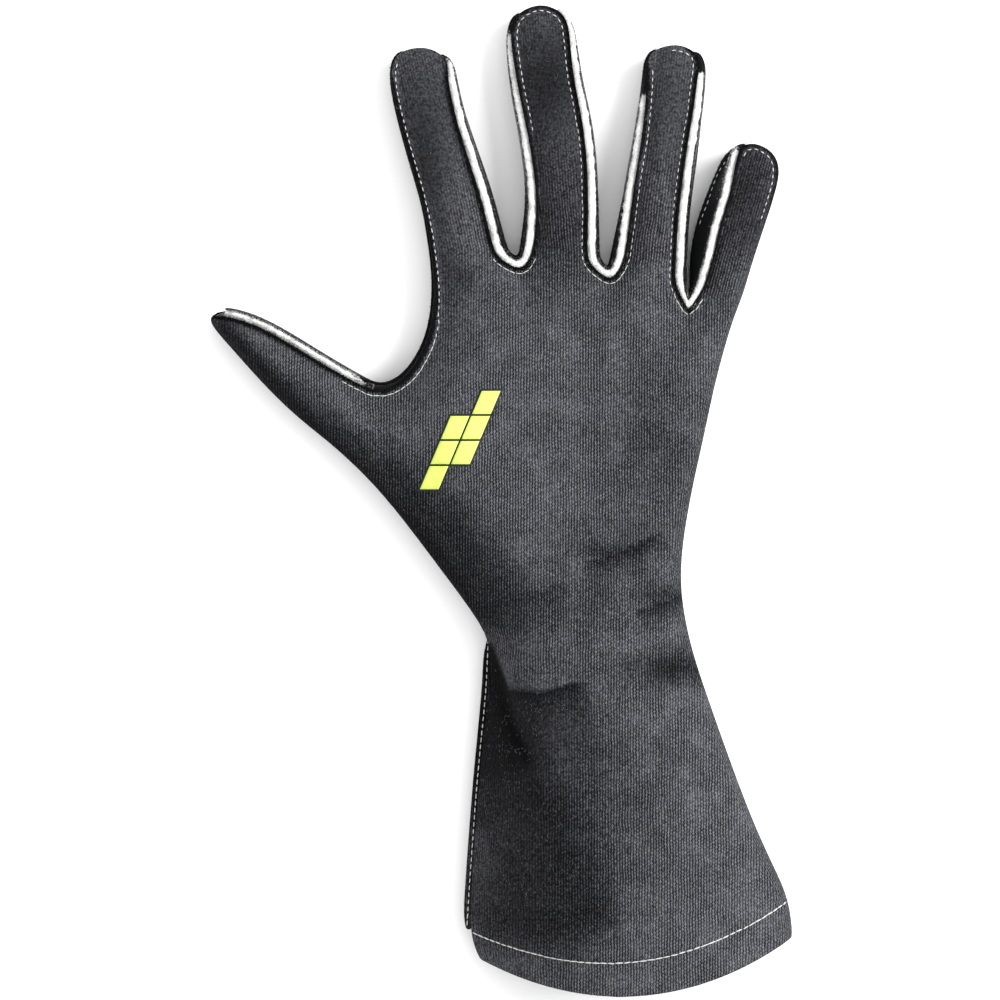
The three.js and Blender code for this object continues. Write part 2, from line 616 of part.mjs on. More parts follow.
function panel({ thickness, shares, edge, next, heightAt, pole }) {
  const sheet = new Sheet(thickness);
  const put = (place) => sheet.add(place[0], place[1]);
  const plan = (i) => vec2(sheet.outer[i].x, sheet.outer[i].y);

  const fingerRows = Object.fromEntries(names.map((name) => [name, sections[name].map((s, j) => {
    const left = sides[name].left[j];
    const right = sides[name].right[j];
    const row = [put(edge(left)), put(next(left))];
    const end = [next(right), edge(right)];
    const from = plan(row[1]);
    const to = vec2(end[0][0].x, end[0][0].y);
    const half = from.distanceTo(to) / 2;
    for (const share of shares) {
      const p = mix2(from, to, share);
      const z = heightAt(p.x, p.y, s.back, { seam: half, left: half, right: half });
      row.push(sheet.add(new THREE.Vector3(p.x, p.y, z)));
    }
    return [...row, put(end[0]), put(end[1])];
  })]));
  for (const name of names) {
    const rows = fingerRows[name];
    for (let j = 0; j + 1 < rows.length; j += 1) sheet.strip(rows[j], rows[j + 1]);
    const tip = FINGERS[name].rows.at(-1);
    const back = sections[name].at(-1).along.clone().multiplyScalar(-thickness);
    sheet.fan(rows.at(-1), sheet.add(
      new THREE.Vector3(tip.x, tip.y, pole),
      new THREE.Vector3(tip.x + back.x, tip.y + back.y, pole),
    ));
  }

  // The crotches, and the row across all finger bases
  const row0 = [...fingerRows.index[0].slice(0, -1)];
  crotches.forEach((points, i) => {
    const edges = points.map((p) => put(edge(p)));
    const inner = points.map((p) => put(next(p)));
    const before = fingerRows[names[i]][0];
    const after = fingerRows[names[i + 1]][0];
    sheet.strip([before.at(-2), ...inner, after[1]], [before.at(-1), ...edges, after[0]]);
    row0.push(...inner, ...(i < 2 ? after.slice(1, -1) : after.slice(1)));
  });

  // The hand and the gauntlet
  const spread = columnShares(row0.slice(1, -1).map(plan));
  const count = spread.shares.length;
  const rows = [row0];
  bodyRows.forEach((r, i) => {
    const right = rightWrap[i];
    const onSeam = i < THUMB_CROTCH_ROW;
    const onCuff = i >= HAND_ROWS.length;
    const leftPoint = onSeam ? palmSeam[i] : cuffWrap[i - HAND_ROWS.length];
    const row = [];
    let from = vec2(r.leftX, r.leftY);
    if (leftPoint) {
      row.push(put(edge(leftPoint)), put(next(leftPoint)));
      from = plan(row[1]);
    }
    const end = [next(right), edge(right)];
    const to = vec2(end[0][0].x, end[0][0].y);
    const evened = r.spread ?? 1;
    const fade = (1 - evened) ** 2;
    const down = vec2(to.y - from.y, from.x - to.x).normalize();
    const seamRound = onCuff ? SEAM_ROUND.cuff : lerp(SEAM_ROUND.fingers, SEAM_ROUND.hand, evened);
    const round = { seam: seamRound, left: r.slope ?? r.round, right: r.round };
    for (let c = leftPoint ? 1 : 0; c < count - 1; c += 1) {
      const share = lerp(spread.shares[c], spread.even[c], evened);
      const p = mix2(from, to, share).addScaledVector(spread.lift[c], fade);
      p.addScaledVector(down, (r.sag ?? 0) * 4 * share * (1 - share));
      const crown = 1 - CROWN_FALL * ((share - CROWN_AT) / (1 - CROWN_AT)) ** 2;
      const z = heightAt(p.x, p.y, r.back * crown, round);
      row.push(sheet.add(new THREE.Vector3(p.x, p.y, z)));
    }
    row.push(put(end[0]), put(end[1]));
    rows.push(row);
  });
  for (let i = 0; i + 1 < rows.length; i += 1) {
    let [upper, lower] = [rows[i], rows[i + 1]];
    if (lower.length < upper.length) upper = upper.slice(1);
    if (lower.length > upper.length) lower = lower.slice(1);
    sheet.strip(lower, upper);
  }

  // The thumb, joined along the hand's left line
  const corner = rows[THUMB_CROTCH_ROW];
  const wrist = rows[HAND_ROWS.length + 1];
  const joint = rows.slice(THUMB_CROTCH_ROW + 1, HAND_ROWS.length + 1).map((row) => row[0]);
  const base = [corner[0], corner[1], ...joint, wrist[1], wrist[0]];
  const baseSpread = columnShares(base.slice(1, -1).map(plan));
  let previous = base;
  THUMB_ROWS.forEach((r, i) => {
    const upper = thumbSeam[i];
    const lower = thumbWrap[i];
    const row = [put(edge(upper)), put(next(upper))];
    const from = plan(row[1]);
    const end = [next(lower), edge(lower)];
    const to = vec2(end[0][0].x, end[0][0].y);
    const evened = smooth(clamp01((i + 1) / 5));
    const half = from.distanceTo(to) / 2;
    for (let c = 1; c < baseSpread.shares.length - 1; c += 1) {
      const share = lerp(baseSpread.shares[c], baseSpread.even[c], evened);
      const p = mix2(from, to, share).addScaledVector(baseSpread.lift[c], (1 - evened) ** 2);
      const reach = Math.min(half, lerp(SEAM_ROUND.thumbBase, SEAM_ROUND.thumbTip, evened));
      const z = heightAt(p.x, p.y, r.back, { seam: reach, left: reach, right: reach });
      row.push(sheet.add(new THREE.Vector3(p.x, p.y, z)));
    }
    row.push(put(end[0]), put(end[1]));
    sheet.strip(row, previous);
    previous = row;
  });
  const tip = new THREE.Vector3(THUMB_TIP.x, THUMB_TIP.y, pole);
  const tipInner = tip.clone().add(new THREE.Vector3(0.9, -0.3, 0).multiplyScalar(thickness));
  sheet.fan([...previous].reverse(), sheet.add(tip, tipInner));
  return { sheet, rows };
}

const back = panel({
  thickness: BACK_WALL,
  shares: BACK_SHARES,
  edge: backEdge,
  next: backNext,
  heightAt: backHeight,
  pole: TIP_RIM + GAP,
});

const palmLines = [
  ...gapPaths,
  [...[...sides.little.right].reverse(), ...rightWrap],
  [...[...thumbWrap].reverse(), ...cuffWrap],
].map((points) => points.map((p) => palmEdge(p)[0]));

function palmHeight(x, y) {
  const near = palmLines.map((line) => nearest(line, x, y)).reduce((a, b) => (b.distance < a.distance ? b : a));
  return near.height * (1 - quarterRound(near.distance / BOTTOM_ROUND));
}

// The palm panel is laid out as the back is, then turned to face down
const palm = panel({
  thickness: PALM_WALL,
  shares: PALM_SHARES,
  edge: palmEdge,
  next: palmNext,
  heightAt: palmHeight,
  pole: TIP_RIM,
});
palm.sheet.faces.forEach((face) => face.reverse());

// Side strips between the fingers, and the white raw edge of the lining in each outside seam
function sideStrip(points) {
  return sweptBar(points.map((p) => {
    const across = -(LINING_WIDTH / 2 + GAP);
    const reach = sideReach(p);
    const middle = lerp(p.rise, p.low, SIDE_BEND);
    const foot = p.low + GAP;
    return [
      onFlange(p, FLANGE, across),
      onFlange(p, -VALLEY_DROP, across),
      atOutline(p, reach - SIDE_WALL, middle),
      atOutline(p, reach - SIDE_FOOT - SIDE_WALL, foot),
      atOutline(p, reach - SIDE_FOOT, foot),
      atOutline(p, reach, middle),
      onFlange(p, 0, across - SIDE_LIP),
      onFlange(p, FLANGE, across - SIDE_LIP),
    ];
  }));
}

function liningEdge(points) {
  const lengths = [0];
  for (let i = 1; i < points.length; i += 1) {
    lengths.push(lengths[i - 1] + points[i].outline.distanceTo(points[i - 1].outline));
  }
  return sweptBar(points.map((p, i) => {
    const fromEnd = Math.min(lengths[i], lengths.at(-1) - lengths[i]);
    const half = (LINING_WIDTH / 2 - LINING_EASE) * lerp(LINING_END, 1, smooth(clamp01(fromEnd / LINING_TAPER)));
    const top = FLANGE - LINING_ROOT;
    return [
      onFlange(p, top, half),
      onFlange(p, -LINING_ROOT, half),
      onFlange(p, -LINING_ROOT, -half),
      onFlange(p, top, -half),
    ];
  }));
}

// The hem's turned-in cloth: a band inside the mouth of the gauntlet
function hemFacing() {
  const rings = [HEM_CLEARANCE, HEM_CLEARANCE + HEM_FACING].map((extra) => {
    const backPoints = back.sheet.below(BACK_WALL + extra);
    const palmPoints = palm.sheet.below(PALM_WALL + extra);
    return [-2, -1].map((r) => [
      ...back.rows.at(r).map((i) => backPoints[i]),
      ...palm.rows.at(r).slice(1, -1).reverse().map((i) => palmPoints[i]),
    ]);
  });
  const [[outerTop, outerEnd], [innerTop, innerEnd]] = rings;
  const loop = [outerTop, outerEnd, innerEnd, innerTop];
  const size = outerTop.length;
  const index = [];
  for (let r = 0; r < 4; r += 1) {
    for (let c = 0; c < size; c += 1) {
      const a = r * size + c;
      const b = r * size + ((c + 1) % size);
      const up = ((r + 1) % 4) * size;
      index.push(a, up + c, up + ((c + 1) % size), a, up + ((c + 1) % size), b);
    }
  }
  return geometryOf(loop.flat(), index);
}

// Height of the back panel's faces straight above a place
function faceHeight(x, y) {
  let best = -Infinity;
  const { sheet } = back;
  for (const [a, b, c] of sheet.triangles()) {
    const [p, q, r] = [sheet.outer[a], sheet.outer[b], sheet.outer[c]];
    const area = (q.x - p.x) * (r.y - p.y) - (r.x - p.x) * (q.y - p.y);
    const u = ((x - p.x) * (r.y - p.y) - (r.x - p.x) * (y - p.y)) / area;
    const v = ((q.x - p.x) * (y - p.y) - (x - p.x) * (q.y - p.y)) / area;
    if (u >= 0 && v >= 0 && u + v <= 1) best = Math.max(best, p.z + u * (q.z - p.z) + v * (r.z - p.z));
  }
  return best;
}

function badge() {
  const sheet = new Sheet(BADGE_THICKNESS);
  const rows = [];
  for (let j = 0; j <= BADGE.rows; j += 1) {
    const y = BADGE.y + BADGE.height * (j / BADGE.rows - 0.5);
    rows.push(Array.from({ length: BADGE.columns + 1 }, (_, i) => {
      const x = BADGE.x + BADGE.width * (i / BADGE.columns - 0.5) + (y - BADGE.y) * BADGE.slant;
      const foot = faceHeight(x, y) + BADGE_CLEARANCE;
      return sheet.add(
        new THREE.Vector3(x, y, foot + BADGE_THICKNESS),
        new THREE.Vector3(x, y, foot),
      );
    }));
  }
  for (let j = 0; j < BADGE.rows; j += 1) sheet.strip(rows[j], rows[j + 1]);
  return sheet.solid();
}

const glove = new THREE.Group();

function addPiece(name, geometry, finish) {
  const mesh = new THREE.Mesh(geometry, new THREE.MeshStandardMaterial(COLOURS[finish]));
  mesh.name = name;
  glove.add(mesh);
}

addPiece('back_panel', back.sheet.solid(), 'knit');
addPiece('palm_panel', palm.sheet.solid(), 'suede');
const gapNames = ['thumb_index', 'index_middle', 'middle_ring', 'ring_little'];
gapNames.forEach((name, i) => {
  addPiece(`fourchette_${name}`, sideStrip(gapPaths[i]), 'suede');
  addPiece(`lining_edge_${name}`, liningEdge(gapPaths[i]), 'lining');
});
addPiece('hem_facing', hemFacing(), 'knit');
addPiece('badge', badge(), 'print');

export default glove;
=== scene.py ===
"""A knit racing glove, lying palm down on a pale floor, seen from above.

The back, palm, side strips, lining edges and hem are made from the frame's own solids, each softened into
cloth. The stitches, the felted edges, the folds and the printed badge are added on top.
"""

import math
import random
from collections import namedtuple
from functools import partialmethod

import bmesh
import bpy
import numpy as np
from bpy.props import FloatProperty, FloatVectorProperty, IntProperty, PointerProperty
from mathutils import Matrix, Vector, noise
from mathutils.bvhtree import BVHTree


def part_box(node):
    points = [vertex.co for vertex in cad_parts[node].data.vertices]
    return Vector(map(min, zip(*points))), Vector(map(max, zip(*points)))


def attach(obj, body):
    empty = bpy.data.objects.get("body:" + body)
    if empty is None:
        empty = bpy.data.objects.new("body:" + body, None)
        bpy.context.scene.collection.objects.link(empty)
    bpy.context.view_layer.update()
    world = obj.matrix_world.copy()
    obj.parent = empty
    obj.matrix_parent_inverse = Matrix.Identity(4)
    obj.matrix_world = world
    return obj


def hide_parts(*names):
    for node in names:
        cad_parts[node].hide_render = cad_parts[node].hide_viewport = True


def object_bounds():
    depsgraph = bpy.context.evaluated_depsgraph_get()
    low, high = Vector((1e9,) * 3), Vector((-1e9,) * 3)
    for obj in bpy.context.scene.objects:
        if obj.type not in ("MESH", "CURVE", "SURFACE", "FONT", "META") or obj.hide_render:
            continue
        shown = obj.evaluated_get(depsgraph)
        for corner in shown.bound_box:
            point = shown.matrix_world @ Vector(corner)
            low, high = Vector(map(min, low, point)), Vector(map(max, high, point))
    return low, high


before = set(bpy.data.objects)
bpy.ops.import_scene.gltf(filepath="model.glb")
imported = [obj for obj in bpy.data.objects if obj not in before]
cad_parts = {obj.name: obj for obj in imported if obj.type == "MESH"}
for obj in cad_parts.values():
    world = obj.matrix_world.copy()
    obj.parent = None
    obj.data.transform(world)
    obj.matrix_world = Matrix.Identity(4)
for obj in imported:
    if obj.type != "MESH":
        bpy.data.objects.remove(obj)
CAD_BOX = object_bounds()

bl_info = {
    "name": "Racing glove",
    "version": (1, 0, 0),
    "blender": (4, 5, 0),
    "location": "3D View > Sidebar > Glove",
    "description": "Dresses a racing glove in knit, suede, felt and stitching",
    "category": "Object",
}

BODY = "root"
MM = 0.001
SEAMS = ("thumb_index", "index_middle", "middle_ring", "ring_little")
SEAM_REACH = 1.4 * MM

# The rows of the tables below. All lengths and places are in mm; dark, felted and lean are shares. A spot may
# be meant for one seam alone.
Lean = namedtuple("Lean", "base_x base_y lean")
Crease = namedtuple("Crease", "path width depth lip")
Overhang = namedtuple("Overhang", "path lip lip_reach drop drop_reach")
Spot = namedtuple("Spot", "x y reach seam", defaults=(None,))
Patch = namedtuple("Patch", "x y reach_x reach_y dark felted")
Shadow = namedtuple("Shadow", "path edge reach dark")
Stretch = namedtuple("Stretch", "path reach")

# How the index, middle, ring and little finger lean away from the hand. The knit's ribs run along +Y in the
# hand, and lean with each finger above its base as far as LEAN_REACH to both sides of it.
FINGER_LEANS = (Lean(-10.9, 84, -0.21), Lean(20.2, 84, -0.085), Lean(50.2, 79, 0.13), Lean(73.6, 68, 0.27))
LEAN_REACH = 17 * MM

# Creases of the back: each runs along a path. The cloth sinks by depth along it, and rises by lip on the left
# of the path. The lip stands away from the path and is as wide as CREASE_LIP says, in widths of the crease,
# and the crease fades in and out over CREASE_ENDS of its length.
CREASES = (
    Crease(((30.6, -21.2), (40.5, -17.6), (52, -11.5)), 1.7, 1.5, 0.9),
    Crease(((46.5, -36.4), (56, -34.6), (64.5, -30.2)), 1.7, 1.6, 1.0),
    Crease(((47, -54), (58, -58.5), (73, -67.5)), 4.0, 1.7, 0.8),
    Crease(((-12, -30), (8, -27), (29, -20)), 3.0, 0.8, 0.5),
    Crease(((-2, -51), (1, -66), (6, -80), (16, -94)), 2.6, 2.4, 0.9),
    Crease(((12, -76), (22, -100), (34, -124), (39, -146)), 8.0, 1.0, 0.9),
    Crease(((-24, 78), (-17, 76.5), (-10, 74)), 2.2, 1.0, 0.5),
    Crease(((-18.5, 112), (-15.5, 98), (-11, 84)), 1.8, 0.5, 0.3),
    Crease(((-34, 22), (-24, 8), (-12, -14)), 6.0, 1.3, 0.7),
    Crease(((-50, 34), (-42, 26), (-38, 14)), 3.5, 0.8, 0.5),
    Crease(((9, 148.5), (16, 150.5), (26, 151)), 2.4, 0.6, 0.3),
    Crease(((11, 118), (21, 116.5), (31, 118.5)), 2.6, 0.7, 0.4),
    Crease(((46, 112), (55, 110), (65, 113)), 2.4, 0.6, 0.3),
    Crease(((-33, 128), (-24, 125), (-14, 127.5)), 2.4, 0.5, 0.3),
    Crease(((60, 16), (66, 6), (64, -8)), 3.0, 0.8, 0.4),
    Crease(((20, 58), (28, 66), (33, 76)), 3.0, 0.6, 0.4),
    Crease(((58, -92), (72, -104), (84, -122)), 7.0, 0.8, 0.6),
)
CREASE_LIP = (2.2, 1.4)
CREASE_ENDS = 0.3

# The fold where the hand's cloth hangs over the gauntlet: from the wrist's left corner, round to the right
OVERHANG = Overhang(
    path=((-3.9, -47.0), (0.4, -58.0), (4.0, -64.5), (13.6, -65.5), (27.2, -62.5)),
    lip=1.1,
    lip_reach=4.5,
    drop=3.0,
    drop_reach=13.0,
)

# The back's cloth keeps still up to the first distance from its edge, and moves fully from the second on. It
# is cut finer beside the overhang and the hem.
STILL_EDGE = (1.0 * MM, 6.5 * MM)
OVERHANG_FINE = 7 * MM
HEM_FINE = 5 * MM

# The black lips of the outside seams, matted and painted with the shade of the seam's valley, in mm in from
# the
# edge: black up to full, not darkened from gone on, and not darkened further than height below the edge. Near
# the spots of LIP_CLEAR the lip is not darkened.
LIP_FULL = 0.7
LIP_GONE = 1.5
LIP_HEIGHT = 3.2
LIP_CLEAR = (Spot(-30, 152, 11), Spot(55, 153, 7), Spot(92, 88, 8))

# How far the felted edges swell past the solids that they replace, sideways in mm, and up as a share of that.
# At the spots of FELT_MATTED they are flat and as black as the lips beside them. Their flanks, where the
# normal's height is less than FELT_FLANK, are matted in specks.
FELT_SWELL = {"thumb_index": 0.10, "index_middle": 0.54, "middle_ring": 0.56, "ring_little": 0.52}
FELT_RISE = 0.30
FELT_FLANK = 0.55
FLANK_MATTED = 0.22
FELT_MATTED = (
    Spot(-30, 153, 12),
    Spot(8, 165, 8),
    Spot(55, 153, 10),
    Spot(51, 144, 7),
    Spot(69, 150, 5),
    Spot(86, 120, 5),
    Spot(-28, 46, 19, "thumb_index"),
    Spot(-22, 80, 22, "thumb_index"),
    Spot(-28, 112, 18, "thumb_index"),
    Spot(-34, 135, 14, "thumb_index"),
)

# The side strips' lips stand above STRIP_LIP, in mm. Between the fingertips they are thin: from the first y
# on, and fully from the second.
STRIP_LIP = (9, 12)
STRIP_THIN = 0.5
THIN_FROM = (88, 108)

# The thumb's side strip is rubbed pale left of the first x, in mm, and black right of the second. The other
# strips' lips grow pale upwards through RUBBED_LIP, from the first y of RUBBED_ABOVE to the second.
RUBBED_SUEDE = (0.110, 0.112, 0.120)
RUBBED_FROM = (-50, -43)
RUBBED_LIP = (10, 12)
RUBBED_ABOVE = (96, 122)

# Where the gauntlet's left edge runs, and how far the hem's row of corners lies above the mouth's edge
CUFF_TOP = -46 * MM
CUFF_END = -148 * MM
CUFF_RIGHT = 10 * MM
MOUTH_STEP = 6 * MM

# The seam that stands out from the gauntlet's left edge: how high its two layers lie, how thick they are, how
# far they are tucked in, how they narrow towards their ends, and how much they waver, in mm
FLANGE_HEIGHTS = {"knit": 7.9, "suede": 7.0}
FLANGE_THICK = 0.8
FLANGE_TUCK = 1.3
FLANGE_TAPER = 7
FLANGE_LEAST = 0.15
FLANGE_WAVER = 0.2

# Where the knit is darker: ovals of reach_x by reach_y. On the fingers it is worn and felted, and part of
# their darkness is painted shade. The other patches are painted shade: in the creases, under the fold at the
# wrist and on the sides turned from the light. Dark is how much darker it is at the middle, and felted is how
# much of its ribs is lost.
WORN_AND_SHADED_PATCHES = (
    Patch(-25, 120, 17, 56, 0.82, 0.90),
    Patch(17, 142, 23, 40, 0.92, 0.90),
    Patch(24, 94, 14, 24, 0.55, 0.10),
    Patch(57, 135, 18, 32, 0.70, 0.75),
    Patch(50, 96, 14, 20, 0.20, 0.0),
    Patch(84, 104, 16, 34, 0.82, 0.50),
    Patch(54, 16, 16, 30, 0.30, 0.0),
    Patch(34, -102, 24, 32, 0.22, 0.0),
    Patch(26, -36, 34, 12, 0.20, 0.0),
    Patch(-90, 58, 16, 12, 0.30, 0.40),
    Patch(12, -76, 18, 16, 0.70, 0.75),
    Patch(4, -122, 22, 40, 0.52, 0.50),
    Patch(59, -58, 14, 5.5, 0.82, 0.0),
    Patch(-17, 75, 9, 7, 0.40, 0.20),
    Patch(37, -18, 12, 3, 0.50, 0.0),
    Patch(56, -33, 10, 3, 0.50, 0.0),
)

# Dark ribbed cloth keeps its light ribs: how much its contrast rises, and how little of its darkness is even
DARK_CONTRAST = 1.6
DARK_SHARE = 0.6

# Painted shadows on the dark sides of folds and creases, and along the hand's left edge, which turns from the
# light. A shadow is painted to the right of each path, seen along it. Its border is edge wide, and it fades
# out within about reach.
FOLD_SHADOWS = (
    Shadow(((-3.9, -47), (0.4, -58), (3, -65), (13.6, -66), (31, -61)), 0.6, 20, 0.94),
    Shadow(((-3, -48), (1.5, -62), (6, -78), (14, -94)), 1.2, 40, 0.88),
    Shadow(((0, -60), (12, -80), (26, -106), (36, -130), (37, -144), (24, -153), (-20, -146)), 9, 90, 0.90),
    Shadow(((-100, 58), (-80, 42), (-54, 24), (-26, 6), (-6, -14), (12, -52)), 10, 60, 0.80),
    Shadow(((-99, 68), (-67.3, 32), (-20.7, -15), (0, -45)), 2.5, 40, 0.92),
    Shadow(((27, -23.5), (40, -18.6), (56, -11)), 0.6, 4.0, 0.88),
    Shadow(((45, -38), (56, -35.6), (66, -30.5)), 0.6, 3.5, 0.85),
    Shadow(((-8, -38), (8, -33), (24, -28)), 1.5, 4.0, 0.50),
)

# Where the sewing shows and how: inset is from the edge, seen from above, less on the index finger's left.
# The stitches of a hidden stretch are left out, because the lip's fuzz covers them, and round a crotch they
# touch. The strip beside the little finger shows a row of its own.
STITCH_INSET = 1.9 * MM
INDEX_INSET = 1.2 * MM
STITCH_HIDDEN = (
    Stretch(((-40, 152), (-26, 154), (-19, 149), (-16, 128), (-7, 100), (-3, 86)), 5),
    Stretch(((11, 119), (14, 100), (13, 86)), 4),
    Stretch(((81, 112), (76, 92), (70, 72)), 4),
    Stretch(((51, 150), (55, 155), (59, 156)), 4),
    Stretch(((-100, 62), (-80, 56), (-56, 42)), 4),
)
CROTCHES = (Spot(6, 77, 8), Spot(37, 73, 8), Spot(64, 64, 8), Spot(-38, 38, 22))
CROTCH_STITCH = 1.04
STRIP_DASHES = (
    (78.5, 116.3),
    (76.1, 113.4),
    (74.1, 110.2),
    (72.5, 106.1),
    (71.4, 102.4),
    (69.4, 97.1),
    (67.6, 92.2),
)
HEM_STITCH = {"length": 0.0030, "pitch": 0.0027, "heavy": 1.6}
CUFF_STITCH = {"length": 0.0019, "pitch": 0.0024, "heavy": 1.1}

# Loose fibres on each felted edge and on each strip, how thick they are, and the curls of lint on the knit:
# how many, which share lies on felted cloth, and how much denser they are below the wrist
FELT_FIBRES = 1500
LIP_FIBRES = 420
FIBRE_RADIUS = 0.08 * MM
CURLS = 1900
CURLS_FELTED = 0.7
CURLS_LOW = 3
LINT_DARK = (0.02, 0.02, 0.022)
LINT_LIGHT = (0.105, 0.107, 0.115)

# The badge's dark ground and its blocks: how far above the cloth they lie, in mm
GROUND_COLOUR = (0.012, 0.013, 0.012)
GROUND_LIFT = 0.10
BLOCK_LIFT = 0.22
PRINT_THICK = 0.18 * MM

# Lights, each with its place, its size in metres and its power; the sky's strength; how far the floor lies
# below the glove; and the level at which the view's width is meant
LIGHTS = {
    "key": ((1.35, 0.45, 1.25), 1.1, 57),
    "fill": ((-1.2, -0.6, 1.6), 1.8, 8),
    "top": ((0.2, 0.1, 2.8), 2.2, 18),
}
SKY = 1.05
FLOOR_DROP = 0.0004
VIEW_LEVEL = 0.006


def colour_setting(name, description, default):
    return FloatVectorProperty(
        name=name, description=description, default=default, subtype="COLOR", min=0, max=1
    )


def length_setting(name, description, default):
    return FloatProperty(name=name, description=description, default=default, min=0.00001, unit="LENGTH")


class GloveClothSettings(bpy.types.PropertyGroup):
    """Cloths: their colours and the size of the knit's stitches"""

    knit_dark: colour_setting("Knit, dark yarn", "Colour in the knit's gaps", (0.0027, 0.0029, 0.0036))
    knit_light: colour_setting("Knit, light yarn", "Colour of the lightest fibres", (0.180, 0.184, 0.203))
    suede: colour_setting("Suede", "Colour of the palm and of the side strips", (0.0031, 0.0034, 0.0038))
    lining: colour_setting("Lining", "Colour of the lining and of its raw edges", (0.64, 0.64, 0.63))
    wale: length_setting("Wale", "Width of one rib of the knit", 0.00095)
    course: length_setting("Course", "Height of one stitch of the knit", 0.00115)


class GloveSeamSettings(bpy.types.PropertyGroup):
    """Sewing: thread and stitches"""

    thread: colour_setting("Thread", "Colour of the sewing thread", (0.49, 0.49, 0.48))
    stitch: length_setting("Stitch", "Length of a stitch that shows", 0.00155)
    pitch: length_setting("Pitch", "From one stitch to the next", 0.0024)
    radius: length_setting("Thread radius", "Half the thread's thickness", 0.00017)
    fuzz: length_setting("Fuzz", "Length of the loose fibres at the raw edges", 0.0010)
    flange: length_setting("Gauntlet seam", "Width of the seam that stands out from its side", 0.0019)


class GloveBadgeSettings(bpy.types.PropertyGroup):
    """Badge: the slanted blocks printed on the back of the hand"""

    colour: colour_setting("Print", "Colour of the blocks", (0.56, 0.73, 0.13))
    rows: IntProperty(name="Rows", description="Blocks from top to bottom", default=4, min=1)
    slant: FloatProperty(name="Slant", description="Sideways lean for each unit of height", default=0.42)
    joint: length_setting("Joint", "Dark line between two blocks", 0.0007)


class GloveStageSettings(bpy.types.PropertyGroup):
    """Stage: floor, light and camera"""

    floor: colour_setting("Floor", "Colour of the floor", (0.93, 0.93, 0.93))
    view_width: length_setting("View width", "Width that the camera sees", 0.34)
    camera_height: length_setting("Camera height", "From the floor to the camera", 6.0)
    view_shift: length_setting("View shift", "How far towards the hem the view's middle lies", 0.0008)


class Sum:
    """A socket of a node tree that can be added, multiplied and compared as a number."""

    def __init__(self, tree, socket):
        self.tree = tree
        self.socket = socket

    def apply(self, operation, *others):
        node = self.tree.nodes.new("ShaderNodeMath")
        node.operation = operation
        for slot, value in zip(node.inputs, (self, *others)):
            put(self.tree, slot, value)
        return Sum(self.tree, node.outputs[0])

    __add__ = partialmethod(apply, "ADD")
    __sub__ = partialmethod(apply, "SUBTRACT")
    __mul__ = partialmethod(apply, "MULTIPLY")
    __truediv__ = partialmethod(apply, "DIVIDE")


def put(tree, slot, value):
    """Gives a node's input a number, a colour or a link."""
    if isinstance(value, Sum):
        value = value.socket
    if isinstance(value, bpy.types.NodeSocket):
        tree.links.new(value, slot)
    else:
        slot.default_value = (*value, 1) if slot.type == "RGBA" else value


def node_of(tree, kind, **inputs):
    """A new node with its inputs filled; their names have _ for a space."""
    node = tree.nodes.new(kind)
    for name, value in inputs.items():
        put(tree, node.inputs[name.replace("_", " ")], value)
    return node


def new_material(name, roughness, sheen=0.0, specular=0.2):
    """A material with its principled shader; returns the material, its tree and the shader."""
    material = bpy.data.materials.new(name)
    material.use_nodes = True
    shader = material.node_tree.nodes["Principled BSDF"]
    shader.inputs["Roughness"].default_value = roughness
    shader.inputs["Sheen Weight"].default_value = sheen
    shader.inputs["Sheen Roughness"].default_value = 0.6
    shader.inputs["Specular IOR Level"].default_value = specular
    return material, material.node_tree, shader


def object_point(tree):
    return tree.nodes.new("ShaderNodeTexCoord").outputs["Object"]


def noise_of(tree, vector, size, detail=3.0, roughness=0.55):
    """Noise whose grains are size metres across."""
    settings = {"Scale": 1 / size, "Detail": detail, "Roughness": roughness}
    return Sum(tree, node_of(tree, "ShaderNodeTexNoise", Vector=vector, **settings).outputs["Fac"])


def spread(value, low, high):
    """value stretched so that low becomes 0 and high becomes 1, held within them."""
    node = node_of(value.tree, "ShaderNodeMapRange", Value=value, From_Min=low, From_Max=high)
    return Sum(value.tree, node.outputs["Result"])


def mix_colours(tree, factor, first, second):
    """Mix node from first to second; either may be a colour or a socket."""
    node = tree.nodes.new("ShaderNodeMix")
    node.data_type = "RGBA"
    for slot, value in (("Factor", factor), (6, first), (7, second)):
        put(tree, node.inputs[slot], value)
    return node.outputs[2]


def shaded(colour, factor):
    """A darker or lighter tone of a colour."""
    return tuple(c * factor for c in colour)


def coat(tree, shader, colour, height=None, distance=0.0, strength=1.0):
    """Gives a shader its colour, and where height is given a bump of up to distance metres."""
    put(tree, shader.inputs["Base Color"], colour)
    if height is not None:
        bump = node_of(tree, "ShaderNodeBump", Strength=strength, Distance=distance, Height=height)
        put(tree, shader.inputs["Normal"], bump.outputs["Normal"])


def knit_gaps(across, along, wale, course):
    """How deep the gaps between the ribs are, from 0 on a rib to 1: dashes, half a stitch apart by turns."""
    column = across / wale
    side = (column.apply("FRACT") - 0.5).apply("ABSOLUTE") * 2
    dash = ((along / course + column.apply("FLOOR") * 0.5 + side * 0.3) * math.tau).apply("SINE") * 0.5 + 0.5
    return spread(side, 0.08, 0.62) * (dash * 0.55 + 0.45)


def attribute_of(tree, name):
    node = tree.nodes.new("ShaderNodeAttribute")
    node.attribute_name = name
    return node


def parts_of(tree, vector):
    """The three numbers of a vector socket."""
    return [Sum(tree, part) for part in node_of(tree, "ShaderNodeSeparateXYZ", Vector=vector).outputs]


